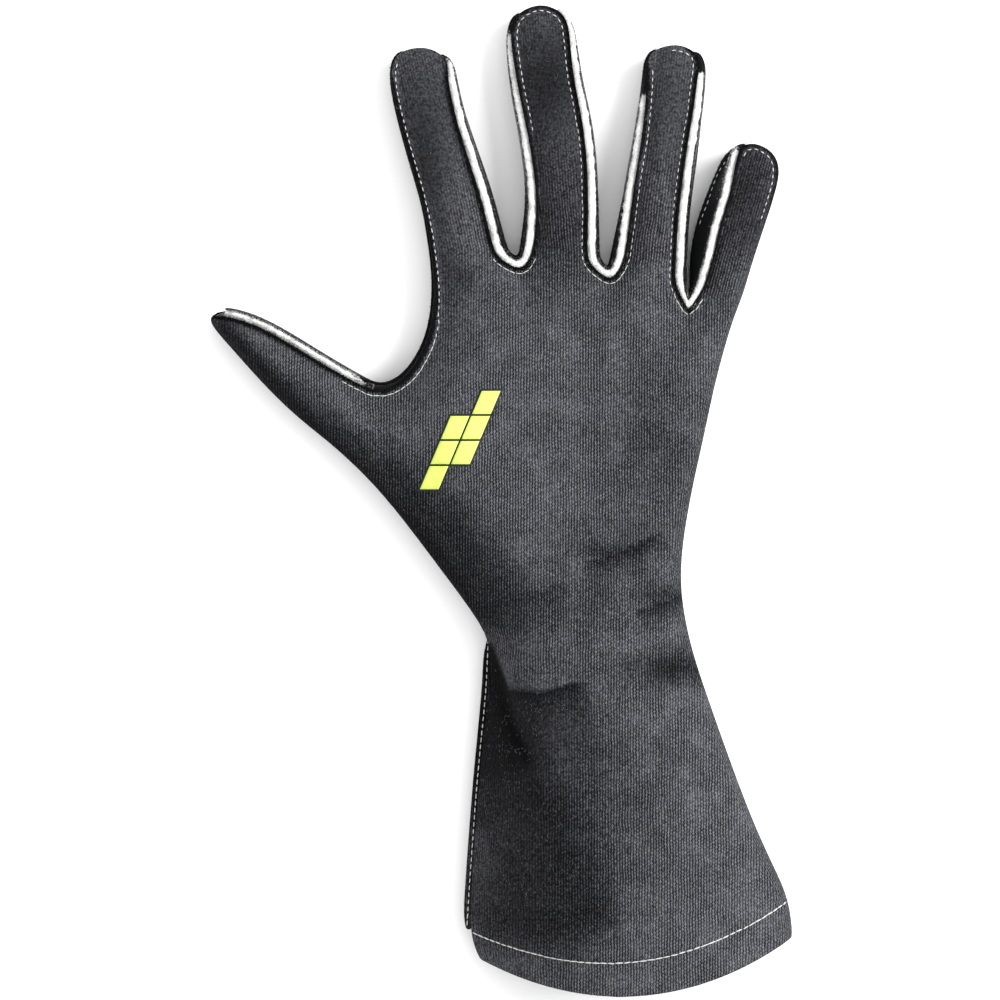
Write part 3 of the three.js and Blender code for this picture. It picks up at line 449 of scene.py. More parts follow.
def knit_material(cloth, name="charcoal_knit"):
    """Heathered knit: ribs with dashed gaps, light fibres among dark ones, worn patches and painted shade,
    and black lips that are matted and painted with the shade of the seam's valley.
    """
    material, tree, shader = new_material(name, roughness=0.95, sheen=0.008, specular=0.03)
    across, along, up = parts_of(tree, attribute_of(tree, "weave").outputs["Vector"])
    # The first part of this attribute is how clean and lit the knit is, which holds its wear and its painted
    # shade.
    clean_and_lit, inset, ribbed = parts_of(tree, attribute_of(tree, "wear_and_shade").outputs["Vector"])
    facing = parts_of(tree, tree.nodes.new("ShaderNodeNewGeometry").outputs["Normal"])
    steep = spread(facing[0].apply("ABSOLUTE"), 0.62, 0.82)
    point = object_point(tree)

    waver = noise_of(tree, point, 0.006, detail=2.0) * 0.0009
    flat_gaps = knit_gaps(across + waver, along, cloth.wale, cloth.course)
    side_gaps = knit_gaps(up + waver, along, cloth.wale, cloth.course)
    patchy = spread(noise_of(tree, point, 0.009, detail=3.0), 0.36, 0.60) * 0.30 + 0.70
    gaps = (flat_gaps + (side_gaps - flat_gaps) * steep) * patchy * ribbed

    fibres = spread(noise_of(tree, point, 0.00095, detail=2.0, roughness=0.7), 0.34, 0.66)
    felt = spread(noise_of(tree, point, 0.0016, detail=4.0, roughness=0.7), 0.30, 0.72)
    flecks = spread(noise_of(tree, point, 0.0008, detail=1.0), 0.63, 0.70)
    mottle = noise_of(tree, point, 0.012, detail=4.0)
    yarn = (fibres * 0.62 + felt * 0.16 + (mottle - 0.5) * 0.20 + 0.18) * (gaps * -1.35 + 1) + flecks * 0.10
    held = yarn.apply("MINIMUM", 1.0).apply("MAXIMUM", 0.0)
    light = held.apply("POWER", (clean_and_lit * -1 + 1) * ribbed * DARK_CONTRAST + 1)

    # The lips beside the sewn edges turn black: matted cloth, and the painted shade of the seam's valley.
    ragged = (noise_of(tree, point, 0.0013, detail=3.0, roughness=0.7) - 0.5) * 3.2
    lip = spread(inset + ragged, LIP_FULL, LIP_GONE)
    # shade holds the knit's wear, its painted shade and the black of the lips.
    shade = clean_and_lit.apply("POWER", ribbed * -DARK_SHARE + 1) * (lip * 0.94 + 0.06)
    yarn_colour = mix_colours(tree, light, cloth.knit_dark, cloth.knit_light)
    colour = mix_colours(tree, shade, shaded(cloth.knit_dark, 0.3), yarn_colour)
    coat(tree, shader, colour, fibres * 0.5 + felt * 0.5 - gaps, distance=0.00032)
    return material


def felt_material(cloth, name="white_felt"):
    """Felted lining: white, fibrous, with a few grey hollows, and black where it is matted."""
    material, tree, shader = new_material(name, roughness=1.0, sheen=0.05, specular=0.05)
    point = object_point(tree)
    fibres = noise_of(tree, point, 0.0007, detail=5.0, roughness=0.7)
    lumps = noise_of(tree, point, 0.004, detail=2.0)
    shade = spread(fibres * 0.6 + lumps * 0.4, 0.36, 0.58)
    white = mix_colours(tree, shade, shaded(cloth.lining, 0.50), cloth.lining)
    matted = Sum(tree, attribute_of(tree, "matted").outputs["Fac"])
    ragged = spread(matted + (fibres - 0.5) * 1.3 + (lumps - 0.5) * 0.9, 0.35, 0.60)
    coat(tree, shader, mix_colours(tree, ragged, white, cloth.suede), fibres, distance=0.0004, strength=0.8)
    return material


def suede_material(cloth, name="black_suede"):
    """Black suede: a short nap, rubbed lighter in patches, and most of all where it is marked as rubbed."""
    material, tree, shader = new_material(name, roughness=1.0, sheen=0.01, specular=0.04)
    point = object_point(tree)
    nap = noise_of(tree, point, 0.0005, detail=4.0, roughness=0.65)
    rubbed = spread(noise_of(tree, point, 0.02, detail=5.0), 0.40, 0.72)
    shade = nap * 0.7 + rubbed * 0.5
    worn = shade.apply("MINIMUM", 1.0)
    colour = mix_colours(tree, worn, shaded(cloth.suede, 0.6), shaded(cloth.suede, 2.6))
    pale = Sum(tree, attribute_of(tree, "rubbed").outputs["Fac"]) * spread(nap, 0.35, 0.60)
    coat(tree, shader, mix_colours(tree, pale, colour, RUBBED_SUEDE), nap, distance=0.00025, strength=0.7)
    return material


def thread_material(seam, name="white_thread"):
    """Twisted sewing thread."""
    material, tree, shader = new_material(name, roughness=0.7)
    twist = noise_of(tree, object_point(tree), 0.0003, detail=2.0)
    colour = mix_colours(tree, twist, shaded(seam.thread, 0.75), seam.thread)
    coat(tree, shader, colour, twist, distance=0.0001, strength=0.6)
    return material


def print_material(name, colour):
    """Rubbery print, worn thin in places, with a fine grain."""
    material, tree, shader = new_material(name, roughness=0.55)
    point = object_point(tree)
    grain = noise_of(tree, point, 0.0008, detail=3.0)
    worn = spread(noise_of(tree, point, 0.004, detail=4.0), 0.3, 0.6)
    tone = mix_colours(tree, worn, shaded(colour, 0.88), colour)
    coat(tree, shader, tone, grain, distance=0.00012, strength=0.5)
    return material


def linked(name, data):
    """A new object in the scene."""
    made = bpy.data.objects.new(name, data)
    bpy.context.scene.collection.objects.link(made)
    return made


def mesh_of(shape, name):
    """A mesh of a bmesh, which is freed."""
    mesh = bpy.data.meshes.new(name)
    shape.to_mesh(mesh)
    shape.free()
    return mesh


def link_piece(name, mesh, materials, replaced=()):
    """An object for a finished mesh, riding on the glove and standing for the nodes it replaces."""
    piece = linked(name, mesh)
    for material in materials:
        mesh.materials.append(material)
    mesh.shade_smooth()
    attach(piece, BODY)
    if replaced:
        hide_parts(*replaced)
    return piece


def merged_copy(node):
    """A bmesh of a node's solid, its corners merged and its triangles paired into quads again."""
    shape = bmesh.new()
    shape.from_mesh(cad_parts[node].data)
    bmesh.ops.remove_doubles(shape, verts=shape.verts, dist=0.01 * MM)
    bmesh.ops.join_triangles(
        shape, faces=shape.faces, angle_face_threshold=math.pi, angle_shape_threshold=math.pi
    )
    shape.normal_update()
    return shape


def subdivided(shape, levels):
    """The smooth surface of a bmesh, as a mesh."""
    mesh = mesh_of(shape, "soft")
    holder = linked("soft", mesh)
    modifier = holder.modifiers.new("soften", "SUBSURF")
    modifier.levels = modifier.render_levels = levels
    smooth = bpy.data.meshes.new_from_object(holder.evaluated_get(bpy.context.evaluated_depsgraph_get()))
    bpy.data.objects.remove(holder)
    bpy.data.meshes.remove(mesh)
    return smooth


def points_of(mesh, layer="co"):
    """The places of a mesh's vertices as rows, or their normals."""
    values = np.zeros(len(mesh.vertices) * 3)
    mesh.vertices.foreach_get(layer, values)
    return values.reshape(-1, 3)


def put_points(mesh, places):
    mesh.vertices.foreach_set("co", places.ravel())
    mesh.update()


def store(mesh, name, values):
    """Keeps a number, or a row of three, for each vertex of a mesh as an attribute."""
    kind, slot = ("FLOAT", "value") if values.ndim == 1 else ("FLOAT_VECTOR", "vector")
    mesh.attributes.new(name, kind, "POINT").data.foreach_set(slot, values.ravel())


def outer_faces(shape, lowest=False, sharp=math.radians(55)):
    """Faces of a sheet's outer side: those with no sharp edge between them and its highest or lowest face."""
    sign = -1 if lowest else 1
    found = {max(shape.faces, key=lambda face: sign * face.calc_center_median().z)}
    waiting = list(found)
    while waiting:
        for edge in waiting.pop().edges:
            if len(edge.link_faces) == 2 and edge.calc_face_angle_signed(0) > sharp:
                continue
            for other in edge.link_faces:
                if other not in found:
                    found.add(other)
                    waiting.append(other)
    return found


def drawn_to(mesh, *nodes):
    """Closes the seams to other panels: the points beside their solids move over to them."""
    places = points_of(mesh)
    for node in nodes:
        solid = surface_of(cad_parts[node].data)
        for place in places:
            spot, _, _, distance = solid.find_nearest(Vector(place), SEAM_REACH)
            if spot:
                place += (np.array(spot) - place) * smoothstep(SEAM_REACH, SEAM_REACH / 2, distance)
    put_points(mesh, places)


def mark_lining(shape, outer):
    """Gives the faces that look into the glove the second material: all but the outer side and its rim."""
    rim = {other for face in outer for edge in face.edges for other in edge.link_faces}
    for face in shape.faces:
        face.material_index = int(face not in outer and face not in rim)


def rim_of(faces):
    """The edge of some faces, in order from the thumb's tip, as pairs: a corner and the next one inside."""
    border = {}
    for face in faces:
        for loop in face.loops:
            edge = loop.edge
            if any(f not in faces for f in edge.link_faces):
                border[loop.vert] = loop.link_loop_next.vert
    start = min(border, key=lambda corner: corner.co.x)
    chain = [start]
    while border[chain[-1]] is not start:
        chain.append(border[chain[-1]])
    on_rim = set(chain)
    pairs = []
    for corner in chain:
        inward = [
            e.other_vert(corner)
            for e in corner.link_edges
            if e.other_vert(corner) not in on_rim and any(f in faces for f in e.link_faces)
        ]
        if inward:
            nearest = min(inward, key=lambda v: (v.co - corner.co).length)
            pairs.append((corner.co.copy(), nearest.co.copy()))
    return pairs


def smoothstep(low, high, value):
    share = np.clip((value - low) / (high - low), 0, 1)
    return share * share * (3 - 2 * share)


def near_path(places, path):
    """For each place: its distance from a path, in plan or in space, its side (1 is left) and share along."""
    best = np.full(len(places), np.inf)
    side = np.zeros(len(places))
    along = np.zeros(len(places))
    run = 0
    for a, b in zip(path, path[1:]):
        step = b - a
        length = np.linalg.norm(step)
        if length == 0:
            continue
        offset = places[:, : len(a)] - a
        share = np.clip(offset @ step / length**2, 0, 1)
        distance = np.linalg.norm(offset - share[:, None] * step, axis=1)
        closer = distance < best
        best[closer] = distance[closer]
        side[closer] = np.sign(step[0] * offset[:, 1] - step[1] * offset[:, 0])[closer]
        along[closer] = (run + share * length)[closer]
        run += length
    return best, side, along / run


def near_row(places, row):
    """What near_path says of the path of a table's row."""
    return near_path(places, np.array(row.path) * MM)


def away_from(places, spot):
    """How far each place lies from a spot's middle, as a share of its reach."""
    return np.hypot(places[:, 0] / MM - spot.x, places[:, 1] / MM - spot.y) / spot.reach


def crease_height(places):
    """How far the creases move the cloth up or down at each place, in metres."""
    total = np.zeros(len(places))
    for crease in CREASES:
        distance, side, share = near_row(places, crease)
        away = distance / (crease.width * MM)
        sink = crease.depth * np.exp(-(away**2))
        lip = crease.lip * np.exp(-(((away - CREASE_LIP[0]) / CREASE_LIP[1]) ** 2)) * (side > 0)
        ends = smoothstep(0, CREASE_ENDS, share) * smoothstep(0, CREASE_ENDS, 1 - share)
        total += (lip - sink) * ends * MM
    return total


def overhang_height(places):
    """The step at the fold over the gauntlet: a soft lip above it and a drop below it, in metres."""
    distance, side, share = near_row(places, OVERHANG)
    away = side * distance / MM
    above = 0.5 + 0.5 * np.tanh(away / 0.5)
    lip = OVERHANG.lip * np.exp(-((away / OVERHANG.lip_reach) ** 2))
    drop = OVERHANG.drop * np.exp(-np.abs(away) / OVERHANG.drop_reach)
    ends = smoothstep(0, 0.18, share) * smoothstep(0, 0.45, 1 - share)
    return (lip * above - drop * (1 - above)) * ends * MM


def refined(mesh, wanted, cuts, outer_only=True):
    """Cuts a mesh's edges finer where wanted says so of both their ends."""
    shape = bmesh.new()
    shape.from_mesh(mesh)
    chosen = wanted(np.array([v.co for v in shape.verts]))
    edges = [edge for edge in shape.edges if all(chosen[v.index] for v in edge.verts)]
    if outer_only:
        edges = [edge for edge in edges if not any(face.material_index for face in edge.link_faces)]
    bmesh.ops.subdivide_edges(shape, edges=edges, cuts=cuts, use_grid_fill=True)
    shape.to_mesh(mesh)
    shape.free()


def ripples(places, *layers):
    """Smooth noise at each place, of one layer or more: each has a grain in metres and a height in mm."""
    waves = []
    for shift, (size, height) in enumerate(layers):
        wave = np.array([noise.noise(Vector(p) / size) for p in places + shift])
        waves.append(wave * (height * MM))
    return sum(waves)


def add_weave(mesh):
    """Keeps where each point lies in the knit: across its ribs, which lean with the fingers, along and up."""
    places = points_of(mesh)
    x = places[:, 0]
    shift = np.zeros_like(x)
    for finger in FINGER_LEANS:
        rise = np.maximum(places[:, 1] - finger.base_y * MM, 0)
        lean = finger.lean * rise
        near = np.abs(x - (finger.base_x * MM + lean)) < LEAN_REACH
        shift = np.where(near & (rise > 0), lean, shift)
    store(mesh, "weave", np.stack((x - shift, places[:, 1], places[:, 2]), axis=1))


def add_wear_and_shade(mesh, sewn=None, ground=1.0):
    """Stores how clean and how lit the knit is, with its wear and its painted shade in one number, how many
    mm in from a sewn edge it lies, and how clear its ribs are.
    """
    places = points_of(mesh)
    # The first number holds wear and painted shade together. ground is how lit the cloth is before the
    # patches.
    clean_and_lit = np.full(len(places), ground)
    ribbed = np.ones(len(places))
    for patch in WORN_AND_SHADED_PATCHES:
        across = (places[:, 0] / MM - patch.x) / patch.reach_x
        along = (places[:, 1] / MM - patch.y) / patch.reach_y
        near = np.exp(-(across**2) - along**2)
        clean_and_lit *= 1 - patch.dark * near
        ribbed *= 1 - patch.felted * near
    # The painted shadows of folds, creases and the hand's left edge darken the same number.
    for fold in FOLD_SHADOWS:
        distance, side, share = near_row(places, fold)
        inside = -side * distance / MM
        depth = smoothstep(-fold.edge, fold.edge, inside) * np.exp(-np.maximum(inside, 0) / fold.reach)
        ends = smoothstep(0, 0.08, share) * smoothstep(0, 0.15, 1 - share)
        clean_and_lit *= 1 - fold.dark * depth * ends
    inset = np.full(len(places), 2 * LIP_GONE)
    if sewn is not None:
        line = np.array(sewn)
        below = near_path(places, line)[0] / MM - LIP_HEIGHT
        inset = near_path(places, line[:, :2])[0] / MM + 2 * np.maximum(below, 0)
        for spot in LIP_CLEAR:
            inset += 2 * LIP_GONE * np.exp(-(away_from(places, spot) ** 4))
    store(mesh, "wear_and_shade", np.stack((clean_and_lit, inset, ribbed), axis=1))


def hem_line(rim):
    """The line of the hem's stitches, from left to right: the row of corners above the mouth's edge."""
    line = [inner for edge, inner in rim if inner.y - edge.y > MOUTH_STEP]
    return [line[0].lerp(line[1], -0.9), *line, line[-1].lerp(line[-2], -0.9)]


def seam_runs(rim, reach=0.8 * MM):
    """For each side strip, the stretch of the palm's rim that lies along it."""
    runs = {}
    for seam in SEAMS:
        strip = surface_of(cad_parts[f"fourchette_{seam}"].data)
        close = [strip.find_nearest(edge)[3] < reach for edge, _ in rim]
        start = next(i for i, c in enumerate(close) if c and not close[i - 1])
        turned = rim[start:] + rim[:start]
        kept = close[start:] + close[:start]
        runs[seam] = turned[: kept.index(False)]
    return runs


def sewn_edge(rim):
    """The sewn stretch of the back's rim: from the little finger's right side to the thumb's tip."""
    first = next(i for i, (edge, _) in enumerate(rim) if edge.x > 80 * MM and edge.y > 90 * MM)
    return [edge for edge, _ in (*rim[first:], rim[0])]


def panel_rim(node, lowest=False):
    """The rim of a panel's outer side."""
    shape = merged_copy(node)
    rim = rim_of(outer_faces(shape, lowest))
    shape.free()
    return rim


class GLOVE_OT_knit_back(bpy.types.Operator):
    """Make the knit back of the glove, with its creases, its fold at the wrist and its hem"""

    bl_idname = "glove.knit_back"
    bl_label = "Knit back"

    def execute(self, context):
        cloth = context.scene.glove_cloth
        shape = merged_copy("back_panel")
        outer = outer_faces(shape)
        rim = rim_of(outer)
        mark_lining(shape, outer)
        mesh = subdivided(shape, levels=2)
        drawn_to(mesh, "palm_panel")

        hem = np.array([p.xy for p in hem_line(rim)])
        refined(mesh, lambda places: near_row(places, OVERHANG)[0] < OVERHANG_FINE, cuts=2, outer_only=False)
        refined(mesh, lambda places: near_path(places, hem)[0] < HEM_FINE, cuts=3)
        refined(mesh, self.near_crease, cuts=1)

        places = points_of(mesh)
        edge = np.array([*(e for e, _ in rim), rim[0][0]])
        body = smoothstep(*STILL_EDGE, near_path(places, edge)[0])
        lift = crease_height(places) + overhang_height(places) + self.hem_height(places, hem)
        lift += ripples(places, (0.030, 0.7), (0.009, 0.16))
        places[:, 2] += lift * body
        put_points(mesh, places)
        add_weave(mesh)
        add_wear_and_shade(mesh, inset_line(sewn_edge(rim), surface_of(mesh), lambda place: 0.05 * MM))
        link_piece("knit_back", mesh, [knit_material(cloth), felt_material(cloth)], ["back_panel"])
        return {"FINISHED"}

    @staticmethod
    def near_crease(places):
        """Whether each place lies within three widths of a crease."""
        return np.any([near_row(places, c)[0] < 3 * c.width * MM for c in CREASES], axis=0)

    @staticmethod
    def hem_height(places, hem):
        """The stitches pull a groove into the cloth, and the hem below it is thicker."""
        distance, side, share = near_path(places, hem)
        groove = 0.75 * np.exp(-((distance / (0.9 * MM)) ** 2))
        above = 0.25 * np.exp(-((distance / (4 * MM) - 0.6) ** 2)) * (side > 0)
        below = 0.55 * smoothstep(0, 2.2 * MM, distance) * (side < 0)
        return (above + below - groove) * MM


class GLOVE_OT_palm(bpy.types.Operator):
    """Make the suede palm"""

    bl_idname = "glove.palm"
    bl_label = "Suede palm"

    def execute(self, context):
        cloth = context.scene.glove_cloth
        shape = merged_copy("palm_panel")
        mark_lining(shape, outer_faces(shape, lowest=True))
        mesh = subdivided(shape, levels=1)
        drawn_to(mesh, "back_panel", *(f"fourchette_{seam}" for seam in SEAMS))
        materials = [suede_material(cloth), felt_material(cloth, "palm_felt")]
        link_piece("suede_palm", mesh, materials, ["palm_panel"])
        return {"FINISHED"}


class GLOVE_OT_side_strips(bpy.types.Operator):
    """Make the side strips between the fingers"""

    bl_idname = "glove.side_strips"
    bl_label = "Side strips"

    def execute(self, context):
        cloth = context.scene.glove_cloth
        material = suede_material(cloth, "side_suede")
        for seam in SEAMS:
            node = f"fourchette_{seam}"
            mesh = subdivided(merged_copy(node), levels=2)
            drawn_to(mesh, "palm_panel")
            self.thinned(mesh)
            places = points_of(mesh) / MM
            rubbed = smoothstep(RUBBED_FROM[1], RUBBED_FROM[0], places[:, 0])
            if seam != "thumb_index":
                rubbed = smoothstep(*RUBBED_LIP, places[:, 2]) * smoothstep(*RUBBED_ABOVE, places[:, 1])
            store(mesh, "rubbed", rubbed)
            link_piece(f"side_strip_{seam}", mesh, [material], [node])
        return {"FINISHED"}

    @staticmethod
    def thinned(mesh):
        """Moves the outer side of a strip's lip in towards the felt, beside the fingertips."""
        places = points_of(mesh)
        high = smoothstep(*STRIP_LIP, places[:, 2] / MM) * smoothstep(*THIN_FROM, places[:, 1] / MM)
        put_points(mesh, places - points_of(mesh, "normal") * (1, 1, 0) * high[:, None] * STRIP_THIN * MM)


class GLOVE_OT_lining_edges(bpy.types.Operator):
    """Make the felted white edges that stand up in the outside seams"""

    bl_idname = "glove.lining_edges"
    bl_label = "Lining edges"

    def execute(self, context):
        material = felt_material(context.scene.glove_cloth, "felt_edge")
        for seam in SEAMS:
            node = f"lining_edge_{seam}"
            mesh = subdivided(merged_copy(node), levels=4)
            places = points_of(mesh)
            normals = points_of(mesh, "normal")
            matted = self.matted(places, seam)
            swell = FELT_SWELL[seam] * MM * (1 - matted) + ripples(places, (0.0021, 0.34), (0.0008, 0.34))
            moved = normals * swell[:, None]
            moved[:, 2] *= FELT_RISE
            put_points(mesh, places + moved)
            level = np.abs(normals[:, 2]) < FELT_FLANK
            store(mesh, "matted", np.maximum(matted, level * FLANK_MATTED))
            link_piece(f"felt_edge_{seam}", mesh, [material], [node])
        return {"FINISHED"}

    @staticmethod
    def matted(places, seam):
        """How far each place of a seam's felt is matted, from 0 to 1."""
        share = np.zeros(len(places))
        for spot in FELT_MATTED:
            if spot.seam in (None, seam):
                share = np.maximum(share, smoothstep(1.5, 0.65, away_from(places, spot)))
        return share


class GLOVE_OT_hem(bpy.types.Operator):
    """Make the hem's cloth, turned in at the mouth of the gauntlet"""

    bl_idname = "glove.hem"
    bl_label = "Hem facing"

    def execute(self, context):
        mesh = subdivided(merged_copy("hem_facing"), levels=1)
        add_weave(mesh)
        # The hem turned into the mouth starts darker: painted shade.
        add_wear_and_shade(mesh, ground=0.7)
        material = knit_material(context.scene.glove_cloth, "hem_knit")
        link_piece("turned_hem", mesh, [material], ["hem_facing"])
        return {"FINISHED"}


def cuff_side(rim):
    """The gauntlet's left edge, from the wrist to the hem, where it meets the palm."""
    side = [edge for edge, _ in rim if edge.y < CUFF_TOP and edge.x < CUFF_RIGHT]
    return sorted((p for p in side if p.y > CUFF_END), key=lambda p: -p.y)


class GLOVE_OT_cuff_seam(bpy.types.Operator):
    """Make the seam that stands out along the gauntlet's left side: a layer of knit on one of suede"""

    bl_idname = "glove.cuff_seam"
    bl_label = "Gauntlet seam"

    def execute(self, context):
        scene = context.scene
        random.seed(5)
        line = smooth_path(cuff_side(panel_rim("palm_panel", lowest=True)))
        for slot, material_of in (("knit", knit_material), ("suede", suede_material)):
            height = FLANGE_HEIGHTS[slot] * MM
            mesh = subdivided(self.layer(line, height, scene.glove_seam.flange), levels=2)
            add_weave(mesh)
            # The seam starts darker: painted shade on the gauntlet's left side, which turns from the light.
            add_wear_and_shade(mesh, ground=0.5)
            material = material_of(scene.glove_cloth, f"seam_{slot}")
            link_piece(f"cuff_seam_{slot}", mesh, [material])
        return {"FINISHED"}

    @staticmethod
    def layer(line, height, width):
        """A strip that runs along a line and stands out to its right, seen in the line's direction."""
        shape = bmesh.new()
        corners = [shape.verts.new((p.x, p.y, height)) for p in line]
        edges = [shape.edges.new(pair) for pair in zip(corners, corners[1:])]
        made = bmesh.ops.extrude_edge_only(shape, edges=edges)["geom"]
        moved = [v for v in made if isinstance(v, bmesh.types.BMVert)]
        for vert in sorted(moved, key=lambda v: v.co.y):
            ends = min(line[0].y - vert.co.y, vert.co.y - line[-1].y) / (FLANGE_TAPER * MM)
            share = FLANGE_LEAST + (1 - FLANGE_LEAST) * min(1, max(0, ends)) ** 0.5
            vert.co.x -= FLANGE_TUCK * MM + width * share
            vert.co.z += random.uniform(-FLANGE_WAVER, FLANGE_WAVER) * MM
        bmesh.ops.recalc_face_normals(shape, faces=shape.faces)
        bmesh.ops.solidify(shape, geom=shape.faces[:], thickness=FLANGE_THICK * MM)
        bmesh.ops.recalc_face_normals(shape, faces=shape.faces)
        return shape


def surface_of(mesh):
    return BVHTree.FromPolygons([v.co for v in mesh.vertices], [tuple(p.vertices) for p in mesh.polygons])


def tree_of(name):
    return surface_of(bpy.data.objects[name].data)


def spaced(path, pitch):
    """Places along a line of points, pitch apart, each with the line's direction there."""
    found = []
    spare = pitch / 2
    for a, b in zip(path, path[1:]):
        length = (b - a).length
        if length == 0:
            continue
        direction = (b - a) / length
        while spare < length:
            found.append((a + direction * spare, direction))
            spare += pitch
        spare -= length
    return found


def smooth_path(path, rounds=2):
    """Corner cutting: the same line with its corners rounded."""
    for _ in range(rounds):
        cut = [path[0]]
        for a, b in zip(path, path[1:]):
            cut += [a.lerp(b, 0.25), a.lerp(b, 0.75)]
        path = [*cut, path[-1]]
    return path


def copies(name, shape, matrices):
    """One mesh that holds a copy of a small shape for each matrix; the shape is freed."""
    corners = np.array([(*v.co, 1) for v in shape.verts])
    faces = [[v.index for v in face.verts] for face in shape.faces]
    shape.free()
    places = np.einsum("nij,kj->nki", np.array(matrices)[:, :3], corners).reshape(-1, 3)
    joined = [[i + start for i in face] for start in range(0, len(places), len(corners)) for face in faces]
    mesh = bpy.data.meshes.new(name)
    mesh.from_pydata(places, [], joined)
    return mesh


def dropped(surface, place):
    """The place on a surface straight below or above another, and its normal; None where there is none."""
    spot, normal, _, _ = surface.ray_cast(Vector((place.x, place.y, 0.2)), Vector((0, 0, -1)))
    return spot, normal


def stitch_line(path, surface, seam, length=None, pitch=None, from_above=True, heavy=1.0):
    """Matrices for the stitches along a path, each laid on the surface below it or nearest to it."""
    found = []
    for place, direction in spaced(smooth_path(path), pitch or seam.pitch):
        spot, normal = dropped(surface, place) if from_above else surface.find_nearest(place)[:2]
        if spot is None or hidden(place):
            continue
        joined = any(math.hypot(place.x / MM - c.x, place.y / MM - c.y) < c.reach for c in CROTCHES)
        long = length or (seam.pitch * CROTCH_STITCH if joined and from_above else seam.stitch)
        along = (direction - normal * direction.dot(normal)).normalized()
        along.rotate(Matrix.Rotation(random.uniform(-0.08, 0.08), 3, normal))
        across = normal.cross(along)
        turn = Matrix((along, across, normal)).transposed().to_4x4()
        half = long / 2 * random.uniform(0.82, 1.08)
        thick = seam.radius * heavy * random.uniform(0.85, 1.1)
        shape = Matrix.Diagonal((half, thick, thick * 0.9, 1))
        at = Matrix.Translation(spot + normal * thick * random.uniform(0.6, 0.9))
        found.append(at @ turn @ shape)
    return found


def hidden(place):
    """Whether a place lies on a stretch where the sewing doesn't show."""
    here = np.array([place])
    return any(near_row(here, row)[0][0] < row.reach * MM for row in STITCH_HIDDEN)


def stitch_inset(place):
    """How far in the outside seams' stitches run at a place: closer on the index finger's left side."""
    index = FINGER_LEANS[0]
    centre = index.base_x * MM + index.lean * (place.y - index.base_y * MM)
    return INDEX_INSET if place.x < centre and place.y > 60 * MM else STITCH_INSET


def inset_line(edge, surface, inset):
    """A line that runs inset from an edge, as the edge shows from above, laid on the surface. A low edge is
    looked for further out, because the cloth above it bulges."""
    steps = [place for place, _ in spaced(smooth_path(edge), 1.2 * MM)]
    line = []
    for before, at, after in zip(steps, steps[1:], steps[2:]):
        ahead = after - before
        inward = Vector((-ahead.y, ahead.x, 0)).normalized()
        reach = 2.6 if at.z < 12 * MM else 0.6
        tries = [at + inward * t * MM for t in np.arange(-reach, 1.5, 0.2)]
        outline = next((p for p in tries if dropped(surface, p)[0]), at)
        spot = dropped(surface, outline + inward * inset(outline))[0]
        if spot:
            line.append(spot)
    return line


class GLOVE_OT_stitches(bpy.types.Operator):
    """Sew the outside seams, the gauntlet's side and its hem"""

    bl_idname = "glove.stitches"
    bl_label = "Stitches"

    def execute(self, context):
        seam = context.scene.glove_seam
        random.seed(7)
        back = tree_of("knit_back")
        rim = panel_rim("back_panel")
        places = stitch_line(inset_line(sewn_edge(rim), back, stitch_inset), back, seam)
        places += stitch_line(hem_line(rim), back, seam, **HEM_STITCH)
        strip = [Vector((x * MM, y * MM, 0)) for x, y in STRIP_DASHES]
        places += stitch_line(strip, tree_of("side_strip_ring_little"), seam)

        sole = panel_rim("palm_panel", lowest=True)
        up = Vector((0, 0, 1))
        for name, run in seam_runs(sole).items():
            path = [edge + up * 1.6 * MM for edge, _ in run]
            places += stitch_line(path, tree_of(f"side_strip_{name}"), seam, from_above=False)
        side = [p + Vector((-1.6 * MM, 0, 4 * MM)) for p in cuff_side(sole)]
        places += stitch_line(side, tree_of("cuff_seam_knit"), seam, **CUFF_STITCH)

        stitch = bmesh.new()
        lying = Matrix.Rotation(math.pi / 2, 4, "Y")
        bmesh.ops.create_uvsphere(stitch, u_segments=8, v_segments=5, radius=1, matrix=lying)
        name = "seam_stitches"
        link_piece(name, copies(name, stitch, places), [thread_material(seam)])
        return {"FINISHED"}


def fibre_at(root, direction, length, radius):
    """The matrix of a loose fibre that stands on its root."""
    turn = direction.to_track_quat("Z", "Y").to_matrix().to_4x4()
    return Matrix.Translation(root) @ turn @ Matrix.Diagonal((radius, radius, length, 1))


